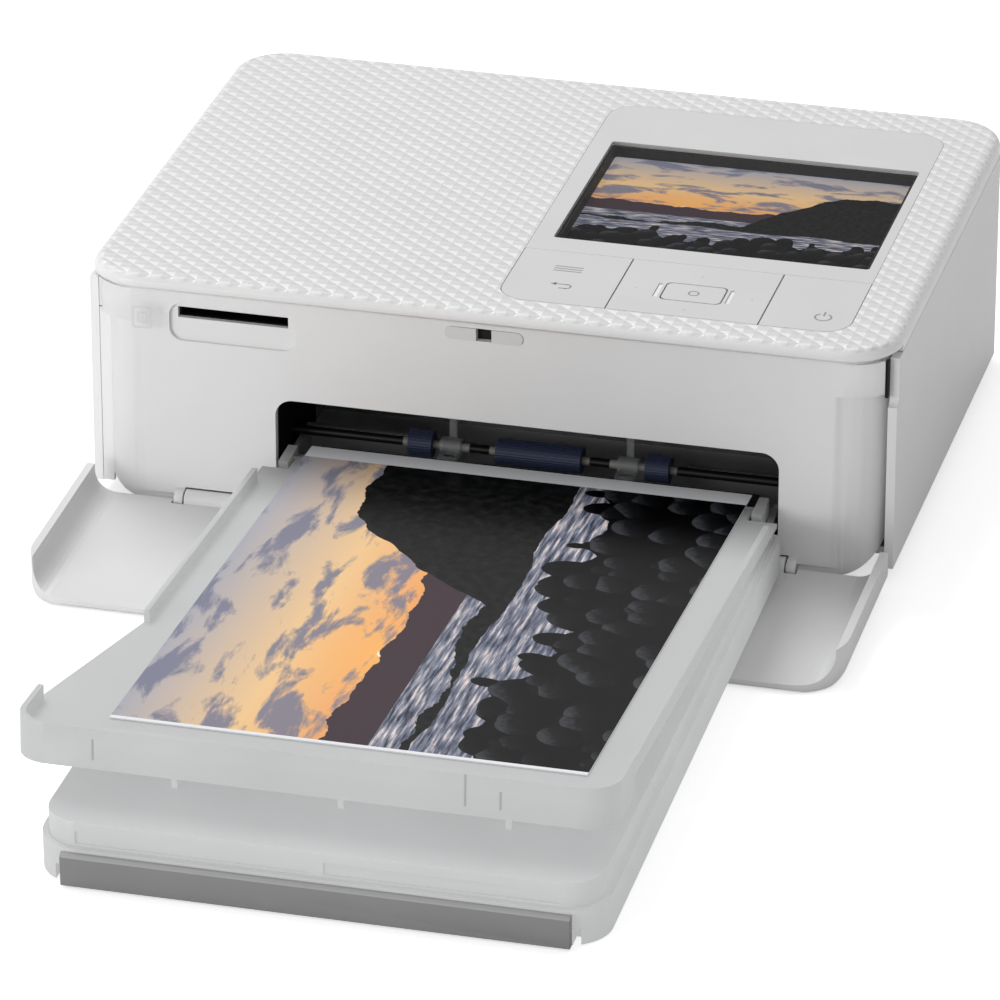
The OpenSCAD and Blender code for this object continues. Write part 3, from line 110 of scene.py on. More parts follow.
class Nodes:
    """Adds and links shader nodes with short calls."""

    def __init__(self, name):
        self.material = bpy.data.materials.new(name)
        self.material.use_nodes = True
        self.tree = self.material.node_tree
        self.shader = self.tree.nodes["Principled BSDF"]
        self.coords = self.tree.nodes.new("ShaderNodeTexCoord")

    def add(self, kind, **values):
        node = self.tree.nodes.new("ShaderNode" + kind)
        for key, value in values.items():
            setattr(node, key, value)
        return node

    def link(self, source, target):
        self.tree.links.new(source, target)

    def feed(self, node, *inputs):
        for i, value in enumerate(inputs):
            if isinstance(value, bpy.types.NodeSocket):
                self.link(value, node.inputs[i])
            else:
                node.inputs[i].default_value = value
        return node.outputs[0]

    def math(self, operation, *inputs, clamp=False):
        return self.feed(self.add("Math", operation=operation, use_clamp=clamp), *inputs)

    def axes(self, source=None):
        split = self.add("SeparateXYZ")
        self.link(source or self.coords.outputs["Object"], split.inputs[0])
        return split.outputs[0], split.outputs[1], split.outputs[2]

    def upward(self):
        """How far the surface faces up, 1 being level."""
        return self.axes(self.coords.outputs["Normal"])[2]

    def noise(self, scale, detail=2.0, roughness=0.5, vector=None, distortion=0.0):
        node = self.add("TexNoise")
        self.link(vector or self.coords.outputs["Object"], node.inputs["Vector"])
        node.inputs["Scale"].default_value = scale
        node.inputs["Detail"].default_value = detail
        node.inputs["Roughness"].default_value = roughness
        node.inputs["Distortion"].default_value = distortion
        return node.outputs["Fac"]

    def mottle(self, dark, light):
        """Two close colours in broad soft patches."""
        return self.ramp(self.noise(60, 3), (0.3, dark), (0.7, light))

    def ramp(self, factor, *stops):
        node = self.add("ValToRGB")
        self.link(factor, node.inputs[0])
        band = node.color_ramp
        while len(band.elements) < len(stops):
            band.elements.new(0.5)
        for element, (place, colour) in zip(band.elements, stops):
            element.position = place
            element.color = (*colour, 1)
        return node.outputs[0]

    def mix(self, factor, a, b):
        node = self.add("Mix", data_type="RGBA")
        for socket, value in ((node.inputs[0], factor), (node.inputs[6], a), (node.inputs[7], b)):
            if isinstance(value, bpy.types.NodeSocket):
                self.link(value, socket)
            else:
                socket.default_value = value if isinstance(value, float) else (*value, 1)
        return node.outputs[2]

    def bump(self, height, distance):
        """Raises the surface of the shader by a height of 0 to 1 times a distance."""
        node = self.add("Bump")
        node.inputs["Strength"].default_value = 1.0
        node.inputs["Distance"].default_value = distance
        self.link(height, node.inputs["Height"])
        self.link(node.outputs[0], self.shader.inputs["Normal"])

    def colour(self, source, socket="Base Color"):
        """Feeds a colour to the shader."""
        self.link(source, self.shader.inputs[socket])

    def set(self, **values):
        for key, value in values.items():
            self.shader.inputs[key.replace("_", " ")].default_value = value


def moulded(name, colour, roughness=0.45, grain=0.35 * MM, depth=0.012 * MM, spread=0.03, **extra):
    """Moulded plastic or rubber: slight mottling and a fine eroded grain."""
    n = Nodes(name)
    dark = tuple(c * (1 - spread) for c in colour)
    light = tuple(min(1, c * (1 + spread)) for c in colour)
    n.colour(n.mottle(dark, light))
    n.bump(n.noise(1 / grain, 1), depth)
    n.set(Roughness=roughness, **extra)
    return n


def case_plastic(name, finish, share=1.0):
    """The housing's white, or a darker share of it."""
    return moulded(name, tuple(c * share for c in finish.case_white), spread=CASE_MOTTLE)


def metal(name, colour, roughness=0.3, along=(1, 1, 1)):
    """Metal with fine drawn or turned lines."""
    n = Nodes(name)
    place = n.add("Mapping")
    place.inputs["Scale"].default_value = along
    n.link(n.coords.outputs["Object"], place.inputs[0])
    lines = n.noise(900, 2, vector=place.outputs[0])
    dark = tuple(c * 0.92 for c in colour)
    n.colour(n.ramp(lines, (0.3, dark), (0.7, colour)))
    n.bump(lines, 0.01 * MM)
    n.set(Roughness=roughness, Metallic=1.0)
    return n


def paint(material, *names):
    """Gives the named CAD nodes a material."""
    for name in names:
        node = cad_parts[name]
        node.data.materials.clear()
        node.data.materials.append(material)


def textured_top(finish):
    """The case plastic with rows of small four-sided pyramids, which fade out down the round rim."""
    n = moulded("case_white_relief", tuple(finish.case_white), 0.35, spread=CASE_MOTTLE)
    x, y, _ = n.axes()
    lane = n.math("DIVIDE", x, finish.cell_width)
    row = n.math("DIVIDE", y, finish.cell_length)

    def wave(kind):
        part = n.math("FRACT", n.math(kind, lane, row))
        return n.math("SUBTRACT", 1.0, n.math("ABSOLUTE", n.math("MULTIPLY_ADD", part, 2.0, -1.0)))

    peak = n.math("MINIMUM", wave("ADD"), wave("SUBTRACT"))
    up = n.upward()
    steepness, threshold = 4.0, -2.6  # whole up to 26 degrees of lean, gone at 49
    fade = n.math("MULTIPLY_ADD", up, steepness, threshold, clamp=True)
    n.bump(n.math("MULTIPLY", peak, fade), finish.relief_depth)
    return n.material


def side_painted_highlight(finish):
    """The case plastic, with a painted highlight in a lighter white on the thin front end of the side wall.
    """
    n = case_plastic("side_painted_highlight", finish)
    _, y, _ = n.axes()
    end = n.math("LESS_THAN", y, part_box("left_side_panel")[0][1] + 0.4 * MM)
    plain = n.shader.inputs["Base Color"].links[0].from_socket
    n.colour(n.mix(end, plain, PAINTED_HIGHLIGHT_WHITE))
    return n.material


def landscape(n, u, v):
    """A made-up evening view: clouds, hills, a lake and round bushes. u runs to PICTURE_RATIO, v to 1."""
    place = n.add("CombineXYZ")
    n.link(u, place.inputs[0])
    n.link(v, place.inputs[1])
    flat = place.outputs[0]

    def streaks(across, along, scale, detail, distortion=0.0):
        stretch = n.add("Mapping")
        stretch.inputs["Scale"].default_value = (across, along, 1)
        n.link(flat, stretch.inputs[0])
        return n.noise(scale, detail, 0.6, stretch.outputs[0], distortion)

    def crest(height, swing, scale, seed, detail=6):
        line = n.add("CombineXYZ")
        n.link(u, line.inputs[0])
        line.inputs[1].default_value = seed
        rough = n.math("SUBTRACT", n.noise(scale, detail, 0.55, line.outputs[0]), 0.5)
        return n.math("MULTIPLY_ADD", rough, swing, height)

    sky = n.ramp(
        v, (0.46, (0.80, 0.30, 0.16)), (0.56, (0.93, 0.50, 0.22)), (0.74, (0.92, 0.66, 0.38)),
        (1.0, (0.50, 0.50, 0.55)),
    )
    across = n.math("SUBTRACT", u, 0.47)
    rise = n.math("MULTIPLY", n.math("SUBTRACT", v, 0.55), 1.6)
    glow = n.math("SQRT", n.math("ADD", n.math("MULTIPLY", across, across), n.math("MULTIPLY", rise, rise)))
    sky = n.mix(n.ramp(glow, (0.0, (0.9, 0.9, 0.9)), (0.3, (0, 0, 0))), sky, (1.0, 0.58, 0.22))
    cloud = n.ramp(streaks(1.5, 5.0, 2.4, 6, 0.4), (0.5, (0, 0, 0)), (0.58, (0.9, 0.9, 0.9)))
    sky = n.mix(cloud, sky, (0.27, 0.28, 0.37))
    sky = n.mix(n.math("LESS_THAN", glow, 0.02), sky, (1.0, 0.90, 0.62))

    view = n.mix(n.math("LESS_THAN", v, crest(0.56, 0.22, 2.2, 3.1)), sky, (0.10, 0.07, 0.085))
    lake = n.ramp(
        streaks(3.0, 34.0, 3.0, 5), (0.36, (0.06, 0.07, 0.10)), (0.52, (0.30, 0.32, 0.40)),
        (0.66, (0.86, 0.76, 0.72)),
    )
    view = n.mix(n.math("LESS_THAN", v, 0.46), view, lake)
    past = n.math("MAXIMUM", n.math("SUBTRACT", u, 0.78), 0.0)
    lift = n.math("SMOOTH_MIN", n.math("MULTIPLY", past, 1.1), 0.42, 0.2)
    headland = n.math("LESS_THAN", v, n.math("ADD", crest(0.40, 0.16, 4.0, 7.7), lift))
    headland = n.math("MULTIPLY", headland, n.math("GREATER_THAN", v, crest(0.37, 0.08, 3.0, 1.3)))
    woods = n.ramp(n.noise(38, 4, 0.65, flat), (0.4, (0.010, 0.011, 0.012)), (0.75, (0.045, 0.045, 0.045)))
    view = n.mix(headland, view, woods)
    crowns = n.add("TexVoronoi", feature="F1")
    n.link(flat, crowns.inputs["Vector"])
    crowns.inputs["Scale"].default_value = 12
    away = n.add("VectorMath", operation="SUBTRACT")
    n.link(flat, away.inputs[0])
    n.link(crowns.outputs["Position"], away.inputs[1])
    left, high, _ = n.axes(away.outputs[0])
    lit = n.math("MULTIPLY_ADD", left, -4.0, n.math("MULTIPLY_ADD", high, 9.0, 0.35))
    leaf = n.math("MULTIPLY_ADD", n.noise(70, 3, 0.6, flat), 0.5, lit)
    bush = n.ramp(
        leaf, (0.35, (0.003, 0.003, 0.004)), (0.75, (0.016, 0.017, 0.020)), (1.0, (0.085, 0.088, 0.10))
    )
    gap = n.math("GREATER_THAN", crowns.outputs["Distance"], 0.62)
    bush = n.mix(gap, bush, (0.002, 0.002, 0.003))
    brim = n.math("MULTIPLY_ADD", crowns.outputs["Distance"], -0.12, crest(0.33, 0.42, 2.4, 21.9, 3))
    deeper = n.add("Gamma")
    deeper.inputs["Gamma"].default_value = 1.25
    n.link(n.mix(n.math("LESS_THAN", v, brim), view, bush), deeper.inputs[0])
    return deeper.outputs[0]


def picture_sheet():
    """Glossy card: the picture on its upper face inside a thin margin, plain white elsewhere."""
    low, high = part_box("printed_sheet")
    n = Nodes("printed_card")
    x, y, _ = n.axes()
    margin, tab = 1.2 * MM, 6.0 * MM
    length = high[1] - low[1] - margin - tab
    u = n.math("DIVIDE", n.math("SUBTRACT", y, low[1] + margin), length / PICTURE_RATIO)
    v = n.math("DIVIDE", n.math("SUBTRACT", high[0], x), high[0] - low[0])
    picture = landscape(n, u, v)
    up = n.upward()
    inside = n.math("GREATER_THAN", up, 0.5)
    inside = n.math("MULTIPLY", inside, n.math("GREATER_THAN", y, low[1] + margin))
    inside = n.math("MULTIPLY", inside, n.math("LESS_THAN", y, high[1] - tab))
    n.colour(n.mix(inside, (0.86, 0.87, 0.89), picture))
    n.bump(n.noise(2500, 1), 0.002 * MM)
    n.set(Roughness=0.3, Specular_IOR_Level=0.12)
    return n.material


def screen_face():
    """Dark well whose floor is the lit display."""
    low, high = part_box("display_module")
    n = Nodes("lit_display")
    x, y, z = n.axes()
    inset = 0.9 * MM
    width = high[0] - low[0] - 2 * inset
    u = n.math("DIVIDE", n.math("SUBTRACT", x, low[0] + inset), width / PICTURE_RATIO)
    v = n.math("DIVIDE", n.math("SUBTRACT", y, low[1] + inset), high[1] - low[1] - 2 * inset)
    picture = landscape(n, u, v)
    up = n.upward()
    level = n.math("GREATER_THAN", up, 0.5)
    sunk = n.math("LESS_THAN", z, high[2] - 1.5 * MM)
    floor = n.math("MULTIPLY", level, sunk)
    n.colour(n.mix(floor, (0.045, 0.045, 0.044), n.mix(0.75, picture, BLACK)))
    n.colour(n.mix(floor, BLACK, picture), "Emission Color")
    n.set(Roughness=0.5, Specular_IOR_Level=0.03, Emission_Strength=0.66)
    return n.material


def grey_with_painted_highlight(colour, light):
    """Satin plastic with a painted highlight: its upward faces and edges are lighter."""
    n = Nodes("bar_grey")
    up = n.upward()
    dark, pale = (tuple(c * share for c in colour) for share in (0.97, 1.03))
    body = n.mottle(dark, pale)
    # Painted highlight on the faces turned upwards.
    n.colour(n.mix(n.math("GREATER_THAN", up, 0.25), body, light))
    n.bump(n.noise(2800, 1), 0.012 * MM)
    n.set(Roughness=0.4)
    return n.material


def notched_catch(colour):
    """Smooth grey plastic whose middle notch is painted black, a painted shade."""
    n = Nodes("catch_grey")
    x, _, _ = n.axes()
    notch_width = 3.44 * MM
    notch = n.math("LESS_THAN", n.math("ABSOLUTE", x), notch_width / 2)
    body = n.mottle(tuple(c * 0.97 for c in colour), colour)
    n.colour(n.mix(notch, body, (0.003, 0.003, 0.003)))
    n.bump(n.noise(2800, 1), 0.01 * MM)
    n.set(Roughness=0.4, Specular_IOR_Level=0.3)
    return n.material


def banded_shaft():
    """Black shaft with bare stretches beside the rollers."""
    low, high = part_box("feed_rollers")
    middle = (low[0] + high[0]) / 2
    n = Nodes("shaft_bands")
    x, _, _ = n.axes()
    out = n.math("ABSOLUTE", n.math("SUBTRACT", x, middle))

    def stretch(start, end):
        past = n.math("GREATER_THAN", out, start * MM)
        return n.math("MULTIPLY", past, n.math("LESS_THAN", out, end * MM))

    inner = stretch(9.7, 11.4)
    outer = n.math("ADD", stretch(16.0, 24.3), stretch(29.7, 31.2))
    bare = n.math("ADD", inner, outer, clamp=True)
    n.colour(n.mix(bare, (0.004, 0.004, 0.004), (0.22, 0.21, 0.19)))
    n.bump(n.noise(900, 2), 0.005 * MM)
    n.set(Roughness=0.4, Specular_IOR_Level=0.3)
    return n.material


def shaded_card(colour):
    """White card with painted shade where it lies inside the printer."""
    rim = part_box("top_cover")[0][1]
    start, reach = rim - 6 * MM, 12 * MM
    n = Nodes("blank_card")
    _, y, _ = n.axes()
    depth = n.math("DIVIDE", n.math("SUBTRACT", y, start), reach, clamp=True)
    card = n.mottle(tuple(c * 0.99 for c in colour), colour)
    n.colour(n.mix(depth, card, (0.03, 0.03, 0.03)))
    n.bump(n.noise(2500, 1), 0.004 * MM)
    n.set(Roughness=0.5)
    return n.material


def clear_plastic(name, tint, alpha, roughness, glow=0.0, **extra):
    """Translucent plastic with slight flow marks. A glow, painted light standing in for light through the
    plastic, lightens what stands outside the printer.
    """
    n = Nodes(name)
    flow = n.noise(30, 4)
    dark = tuple(c * 0.94 for c in tint)
    colour = n.ramp(flow, (0.3, dark), (0.7, tint))
    n.colour(colour)
    if glow:
        _, y, _ = n.axes()
        fall, start = -33.0, 0.66  # whole in front of y = -10 mm, gone behind y = 20 mm
        lit = n.math("MULTIPLY_ADD", y, fall, start, clamp=True)
        # The emission is painted light: the plastic is no lamp.
        n.colour(n.mix(lit, BLACK, colour), "Emission Color")
        n.set(Emission_Strength=glow)
    n.bump(n.noise(700, 2), 0.01 * MM)
    n.set(Roughness=roughness, Alpha=alpha, IOR=1.49, **extra)
    return n.material


def tray_plastic(name, tint, share, glow):
    """Frosted tray plastic in a share of the tint, with painted light as a glow."""
    colour = tuple(c * share for c in tint)
    return clear_plastic(name, colour, alpha=1.0, roughness=0.5, glow=glow, Transmission_Weight=0.4)


def soften(width, *names):
    """Rounds the edges of moulded parts."""
    for name in names:
        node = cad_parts[name]
        weld = node.modifiers.new("weld", "WELD")
        weld.merge_threshold = 0.002 * MM
        bevel = node.modifiers.new("edges", "BEVEL")
        bevel.width = width
        bevel.segments = 2
        bevel.limit_method = "ANGLE"
        bevel.angle_limit = math.radians(40)
        bevel.harden_normals = True


# ---------- modelling ----------
# Every material uses Object coordinates, so the pieces are made without UVs.

def deselect():
    """Goes back to object mode with nothing selected."""
    if bpy.context.mode != "OBJECT":
        bpy.ops.object.mode_set(mode="OBJECT")
    bpy.ops.object.select_all(action="DESELECT")


def edit_all():
    """Opens the active piece for editing with all of it selected."""
    bpy.ops.object.mode_set(mode="EDIT")
    bpy.ops.mesh.select_all(action="SELECT")


def apply_place():
    """Leaves the active piece untransformed."""
    bpy.ops.object.transform_apply(location=True, rotation=True, scale=True)


def fix_order():
    """Sorts the active piece's points and faces, since an extrusion leaves them in a new order each run."""
    cursor = bpy.context.scene.cursor
    cursor.location = (0.31, -0.47, 0.23)  # off every line of symmetry, to keep the distances apart
    edit_all()
    bpy.ops.mesh.sort_elements(type="CURSOR_DISTANCE", elements={"VERT", "EDGE", "FACE"})
    bpy.ops.object.mode_set(mode="OBJECT")
    cursor.location = (0, 0, 0)


def settle(name, material, body):
    """Applies the place of the active piece, names it and hangs it on its body."""
    piece = bpy.context.object
    apply_place()
    fix_order()
    piece.name = name
    piece.data.name = name
    piece.data.materials.clear()
    piece.data.materials.append(material)
    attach(piece, body)


def join_pieces(pieces):
    """Makes one piece of several and leaves it active."""
    deselect()
    for piece in pieces:
        piece.select_set(True)
    bpy.context.view_layer.objects.active = pieces[0]
    bpy.ops.object.join()


def ring(x, y, z, radius, line, gap_from=None, gap_to=None, count=48):
    """A flat ring, open between two angles in degrees where they are given."""
    deselect()
    bpy.ops.mesh.primitive_circle_add(vertices=count, radius=radius, location=(x, y, z), calc_uvs=False)
    bpy.ops.object.mode_set(mode="EDIT")
    bpy.ops.mesh.select_mode(type="VERT")  # an earlier ring may have left face mode on
    bpy.ops.mesh.select_all(action="SELECT")
    bpy.ops.mesh.extrude_region_move()
    scale = (radius - line) / radius
    bpy.ops.transform.resize(value=(scale, scale, 1), center_override=(x, y, z))
    bpy.ops.mesh.select_all(action="DESELECT")
    bpy.ops.object.mode_set(mode="OBJECT")
    piece = bpy.context.object
    if gap_from is not None:
        for face in piece.data.polygons:
            angle = math.degrees(math.atan2(face.center[1], face.center[0])) % 360
            face.select = gap_from < angle < gap_to
        bpy.ops.object.mode_set(mode="EDIT")
        bpy.ops.mesh.select_mode(type="FACE")
        bpy.ops.mesh.delete(type="FACE")
        bpy.ops.object.mode_set(mode="OBJECT")
    return face_up(piece)


def face_up(piece):
    """Turns a flat piece's faces upwards and applies its place."""
    edit_all()
    bpy.ops.mesh.normals_make_consistent(inside=False)
    bpy.ops.object.mode_set(mode="OBJECT")
    if sum(face.normal[2] for face in piece.data.polygons) < 0:
        edit_all()
        bpy.ops.mesh.flip_normals()
        bpy.ops.object.mode_set(mode="OBJECT")
    apply_place()
    return piece


def bar(x, y, z, width, length):
    """A flat bar with softly cut corners."""
    deselect()
    bpy.ops.mesh.primitive_plane_add(size=1, location=(x, y, z), calc_uvs=False)
    piece = bpy.context.object
    piece.scale = (width, length, 1)
    apply_place()
    edit_all()
    bpy.ops.mesh.bevel(offset=min(width, length) * 0.3, segments=3, affect="VERTICES")
    bpy.ops.object.mode_set(mode="OBJECT")
    return face_up(piece)


def wedge(x, y, z, radius, turn):
    """A flat arrow head."""
    deselect()
    bpy.ops.mesh.primitive_circle_add(
        vertices=3, radius=radius, fill_type="NGON", location=(x, y, z), rotation=(0, 0, turn),
        calc_uvs=False,
    )
    return face_up(bpy.context.object)


def edged_box(location, size, edge, tilt=0.0):
    """An upright block with rounded edges."""
    deselect()
    bpy.ops.mesh.primitive_cube_add(size=1, location=location, rotation=(tilt, 0, 0), calc_uvs=False)
    piece = bpy.context.object
    piece.scale = size
    apply_place()
    edit_all()
    bpy.ops.mesh.bevel(offset=edge, segments=2)
    bpy.ops.object.mode_set(mode="OBJECT")
    return piece


def raised_outline(x, y, z, width, height, corner):
    """A thin raised frame with round corners on a front face."""
    line, proud = 0.35 * MM, 0.12 * MM
    deselect()
    upright = (math.radians(90), 0, 0)
    bpy.ops.mesh.primitive_plane_add(size=1, location=(x, y, z), rotation=upright, calc_uvs=False)
    piece = bpy.context.object
    piece.scale = (width, height, 1)
    apply_place()
    edit_all()
    bpy.ops.mesh.bevel(offset=corner, segments=3, affect="VERTICES")
    bpy.ops.mesh.select_all(action="SELECT")
    bpy.ops.mesh.inset(thickness=line)
    bpy.ops.mesh.delete(type="FACE")
    bpy.ops.mesh.select_all(action="SELECT")
    bpy.ops.mesh.extrude_region_move(TRANSFORM_OT_translate={"value": (0, -proud, 0)})
    bpy.ops.mesh.select_all(action="SELECT")
    bpy.ops.mesh.normals_make_consistent(inside=False)
    bpy.ops.object.mode_set(mode="OBJECT")
    return piece


def corner_strip(name, material, side, width, clearance, foot, head):
    """A narrow upright strip between the front's round corner and a side wall. All in millimetres."""
    wall_thickness, set_back, depth = 2.0, 0.15, 1.2
    low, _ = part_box("left_side_panel")
    x = side * (-low[0] / MM - wall_thickness - clearance - width / 2)
    middle = (x * MM, low[1] + (set_back + depth / 2) * MM, (foot + head) / 2 * MM)
    edged_box(middle, (width * MM, depth * MM, (head - foot) * MM), edge=0.15 * MM)
    settle(name, material, "casing")


def card_mark(material):
    """A faint raised outline of a memory card beside its slot."""
    low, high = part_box("card_socket")
    x, y, z = low[0] - 5.2 * MM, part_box("front_case")[0][1], high[2] - 3.6 * MM
    sizes = ((4.6, 5.2, 0.7), (2.2, 2.6, 0.5))
    join_pieces([raised_outline(x, y, z, w * MM, h * MM, r * MM) for w, h, r in sizes])
    settle("card_mark", material, "casing")


def lip_ridges(material):
    """Short upright ridges on the output tray's front lip."""
    low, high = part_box("output_tray")
    lean = math.radians(3.3)
    lip_foot = 20.4 * MM
    middle = (high[0] + low[0]) / 2
    pieces = []
    for x, foot, height in ((-45.55, 2.0, 4.6), (32.15, 1.9, 7.0), (39.45, 2.0, 4.0)):
        up = (foot + height / 2) * MM
        place = (middle + x * MM, low[1] + up * math.tan(lean), lip_foot + up)
        pieces.append(edged_box(place, (0.45 * MM, 0.2 * MM, height * MM), edge=0.06 * MM, tilt=-lean))
    join_pieces(pieces)
    settle("lip_ridges", material, "output")


# ---------- stage ----------

def lamp(name, location, turn, size, power):
    """A round soft lamp, turned by angles in degrees."""
    bpy.ops.object.light_add(type="AREA", location=location)
    light = bpy.context.object
    light.name = name
    light.data.shape = "DISK"
    light.data.size = size
    light.data.energy = power
    light.rotation_euler = tuple(math.radians(angle) for angle in turn)


def white_floor(size):
    """A pale floor that keeps shadows and is lifted to white only where it is seen."""
    deselect()
    bpy.ops.mesh.primitive_plane_add(size=size, location=(0, 0, -0.1 * MM), calc_uvs=False)
    floor = bpy.context.object
    floor.name = "studio_floor"
    n = Nodes("floor_white")
    n.colour(n.ramp(n.noise(3, 1), (0.3, (0.8, 0.8, 0.8)), (0.7, (0.81, 0.81, 0.81))))
    n.set(Roughness=0.9, Specular_IOR_Level=0.1)
    glow = n.add("Emission")
    glow.inputs["Color"].default_value = (1, 1, 1, 1)
    path = n.add("LightPath")
    seen = n.math("MAXIMUM", path.outputs["Is Camera Ray"], path.outputs["Is Transmission Ray"])
    n.link(n.math("MULTIPLY", seen, FLOOR_GLOW), glow.inputs["Strength"])
    both = n.add("AddShader")
    n.link(n.shader.outputs[0], both.inputs[0])
    n.link(glow.outputs[0], both.inputs[1])
    n.link(both.outputs[0], n.tree.nodes["Material Output"].inputs["Surface"])
    floor.data.materials.append(n.material)


def soft_air(scene, ambient):
    """Even light from all round, seen as white."""
    world = bpy.data.worlds.new("studio_air")
    scene.world = world
    world.use_nodes = True
    tree = world.node_tree
    air = tree.nodes["Background"]
    air.inputs["Color"].default_value = (1, 1, 1, 1)
    path = tree.nodes.new("ShaderNodeLightPath")
    seen = tree.nodes.new("ShaderNodeMath")
    seen.operation = "MAXIMUM"
    tree.links.new(path.outputs["Is Camera Ray"], seen.inputs[0])
    tree.links.new(path.outputs["Is Transmission Ray"], seen.inputs[1])
    level = tree.nodes.new("ShaderNodeMapRange")
    level.inputs["To Min"].default_value = ambient
    level.inputs["To Max"].default_value = 1.0
    tree.links.new(seen.outputs[0], level.inputs["Value"])
    tree.links.new(level.outputs["Result"], air.inputs["Strength"])


# ---------- operators ----------

class PRINTER_OT_housing(bpy.types.Operator):
    """Finish the white housing, its doors and its feet"""
    bl_idname = "printer.housing"
    bl_label = "Housing finish"

    def execute(self, context):
        finish = context.scene.printer_finish
        paint(case_plastic("case_white", finish).material, "front_case", "rear_panel", "base_pan")
        # The doors get a darker share of the case white, painted shade.
        paint(case_plastic("side_door_painted_shade", finish, DOOR_PAINTED_SHADE).material, "ribbon_door")
        bright = moulded("lip_painted_highlight", PAINTED_HIGHLIGHT_WHITE, spread=CASE_MOTTLE).material
        paint(side_painted_highlight(finish), "left_side_panel")
        paint(case_plastic("front_door_painted_shade", finish, DOOR_PAINTED_SHADE).material, "front_door")
        soften(0.3 * MM, "front_case", "front_door", "latch_catch")
        paint(textured_top(finish), "top_cover")
        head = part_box("front_case")[1][2] / MM - 0.1
        left = dict(side=-1, clearance=0.02)
        # Strips in the lighter white fill the left corner's gap: painted highlight where the gap would lie
        # in shade.
        corner_strip("left_corner_painted_highlight", bright, width=2.6, foot=3.5, head=46.0, **left)
        corner_strip("left_corner_painted_highlight_top", bright, width=0.9, foot=46.2, head=head, **left)
        # A near-black strip in the right corner's gap is painted shade, where the gap lies dark.
        gap = moulded("gap_painted_shade", (0.004, 0.004, 0.004), 0.9, spread=0.3).material
        corner_strip("right_corner_painted_shade", gap, side=1, clearance=0.05, width=0.75, foot=44.2, head=head)
        card_mark(moulded("card_mark_grey", (0.66, 0.66, 0.67), 0.4).material)
        rubber = moulded("foot_rubber", (0.03, 0.03, 0.032), 0.8, grain=0.5 * MM, depth=0.03 * MM).material
        paint(rubber, "rubber_feet")
        paint(notched_catch((0.66, 0.665, 0.67)), "latch_catch")
        steel = metal("pin_steel", (0.55, 0.56, 0.58)).material
        paint(steel, "base_screws", "front_door_pins", "ribbon_door_pin")
        return {"FINISHED"}


class PRINTER_OT_panel(bpy.types.Operator):
    """Finish the control sheet and print the marks on its keys"""
    bl_idname = "printer.panel"
    bl_label = "Control panel"

    def execute(self, context):
        finish = context.scene.printer_finish
        marks = context.scene.printer_marks
        sheet = moulded(
            "panel_white", tuple(finish.panel_white), 0.3, grain=0.2 * MM, depth=0.004 * MM, spread=0.015
        ).material
        paint(sheet, "control_bezel", "menu_key", "direction_pad", "ok_key", "power_key")
        ink = moulded("mark_grey", tuple(finish.ink_grey), **PRINTED).material
        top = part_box("control_bezel")[1][2] + INK_THICKNESS
        line = marks.mark_line

        low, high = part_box("power_key")
        x, y = high[0] - 6.6 * MM, low[1] + 7.2 * MM
        r = marks.power_radius
        join_pieces([ring(x, y, top, r, line, 62, 118), bar(x, y + r * 0.85, top, line, r * 1.1)])
        settle("power_mark", ink, "power_key")

        low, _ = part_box("menu_key")
        x, y = low[0] + 12 * MM, low[1] + 18.2 * MM
        w = marks.menu_width
        join_pieces([bar(x, y + i * 1.15 * MM, top, w, line) for i in (-1, 0, 1)])
        settle("menu_mark", ink, "menu_key")
        x, y = low[0] + 12.6 * MM, low[1] + 9.0 * MM
        r = 1.25 * MM
        join_pieces([
            ring(x + 1.1 * MM, y, top, r, line, 95, 265),
            bar(x - 0.3 * MM, y + r - line / 2, top, 3.0 * MM, line),
            bar(x + 0.4 * MM, y - r + line / 2, top, 1.6 * MM, line),
            wedge(x - 1.8 * MM, y + r - line / 2, top, 0.95 * MM, math.radians(90)),
        ])
        settle("return_mark", ink, "menu_key")

        low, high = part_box("direction_pad")
        cx, cy = (low[0] + high[0]) / 2, low[1] + 12.4 * MM
        r = marks.dot_radius
        places = ((0, 9), (0, -9), (-13, 0), (13, 0))
        join_pieces([ring(cx + dx * MM, cy + dy * MM, top, r, r * 0.9, count=16) for dx, dy in places])
        faint = moulded("mark_faint", tuple(c * 0.86 for c in finish.panel_white), **PRINTED).material
        settle("direction_marks", faint, "direction_pad")

        low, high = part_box("ok_key")
        cx, cy = (low[0] + high[0]) / 2, (low[1] + high[1]) / 2
        join_pieces([ring(cx, cy, top, 1.3 * MM, line * 0.9, count=32)])
        settle("confirm_mark", ink, "ok_key")

        floor = top - 0.3 * MM  # the slots beside the centre key are sunk; their floors are pale plates, a painted highlight for light caught in them
        join_pieces([bar(cx + side * 8.1 * MM, cy, floor, 0.9 * MM, 7.4 * MM) for side in (-1, 1)])
        pale = moulded("slot_painted_highlight", (0.85, 0.85, 0.85), 0.4).material
        settle("painted_highlight_plates", pale, "direction_pad")
        return {"FINISHED"}


class PRINTER_OT_screen(bpy.types.Operator):
    """Light the display and finish its window"""
    bl_idname = "printer.screen"
    bl_label = "Screen"

    def execute(self, context):
        paint(screen_face(), "display_module")
        n = Nodes("screen_window")
        n.bump(n.noise(40, 1), 0.004 * MM)
        n.set(
            Base_Color=(0.05, 0.05, 0.05, 1), Roughness=0.04, Alpha=0.1, IOR=1.5, Specular_IOR_Level=0.25
        )
        paint(n.material, "display_glass")
        return {"FINISHED"}


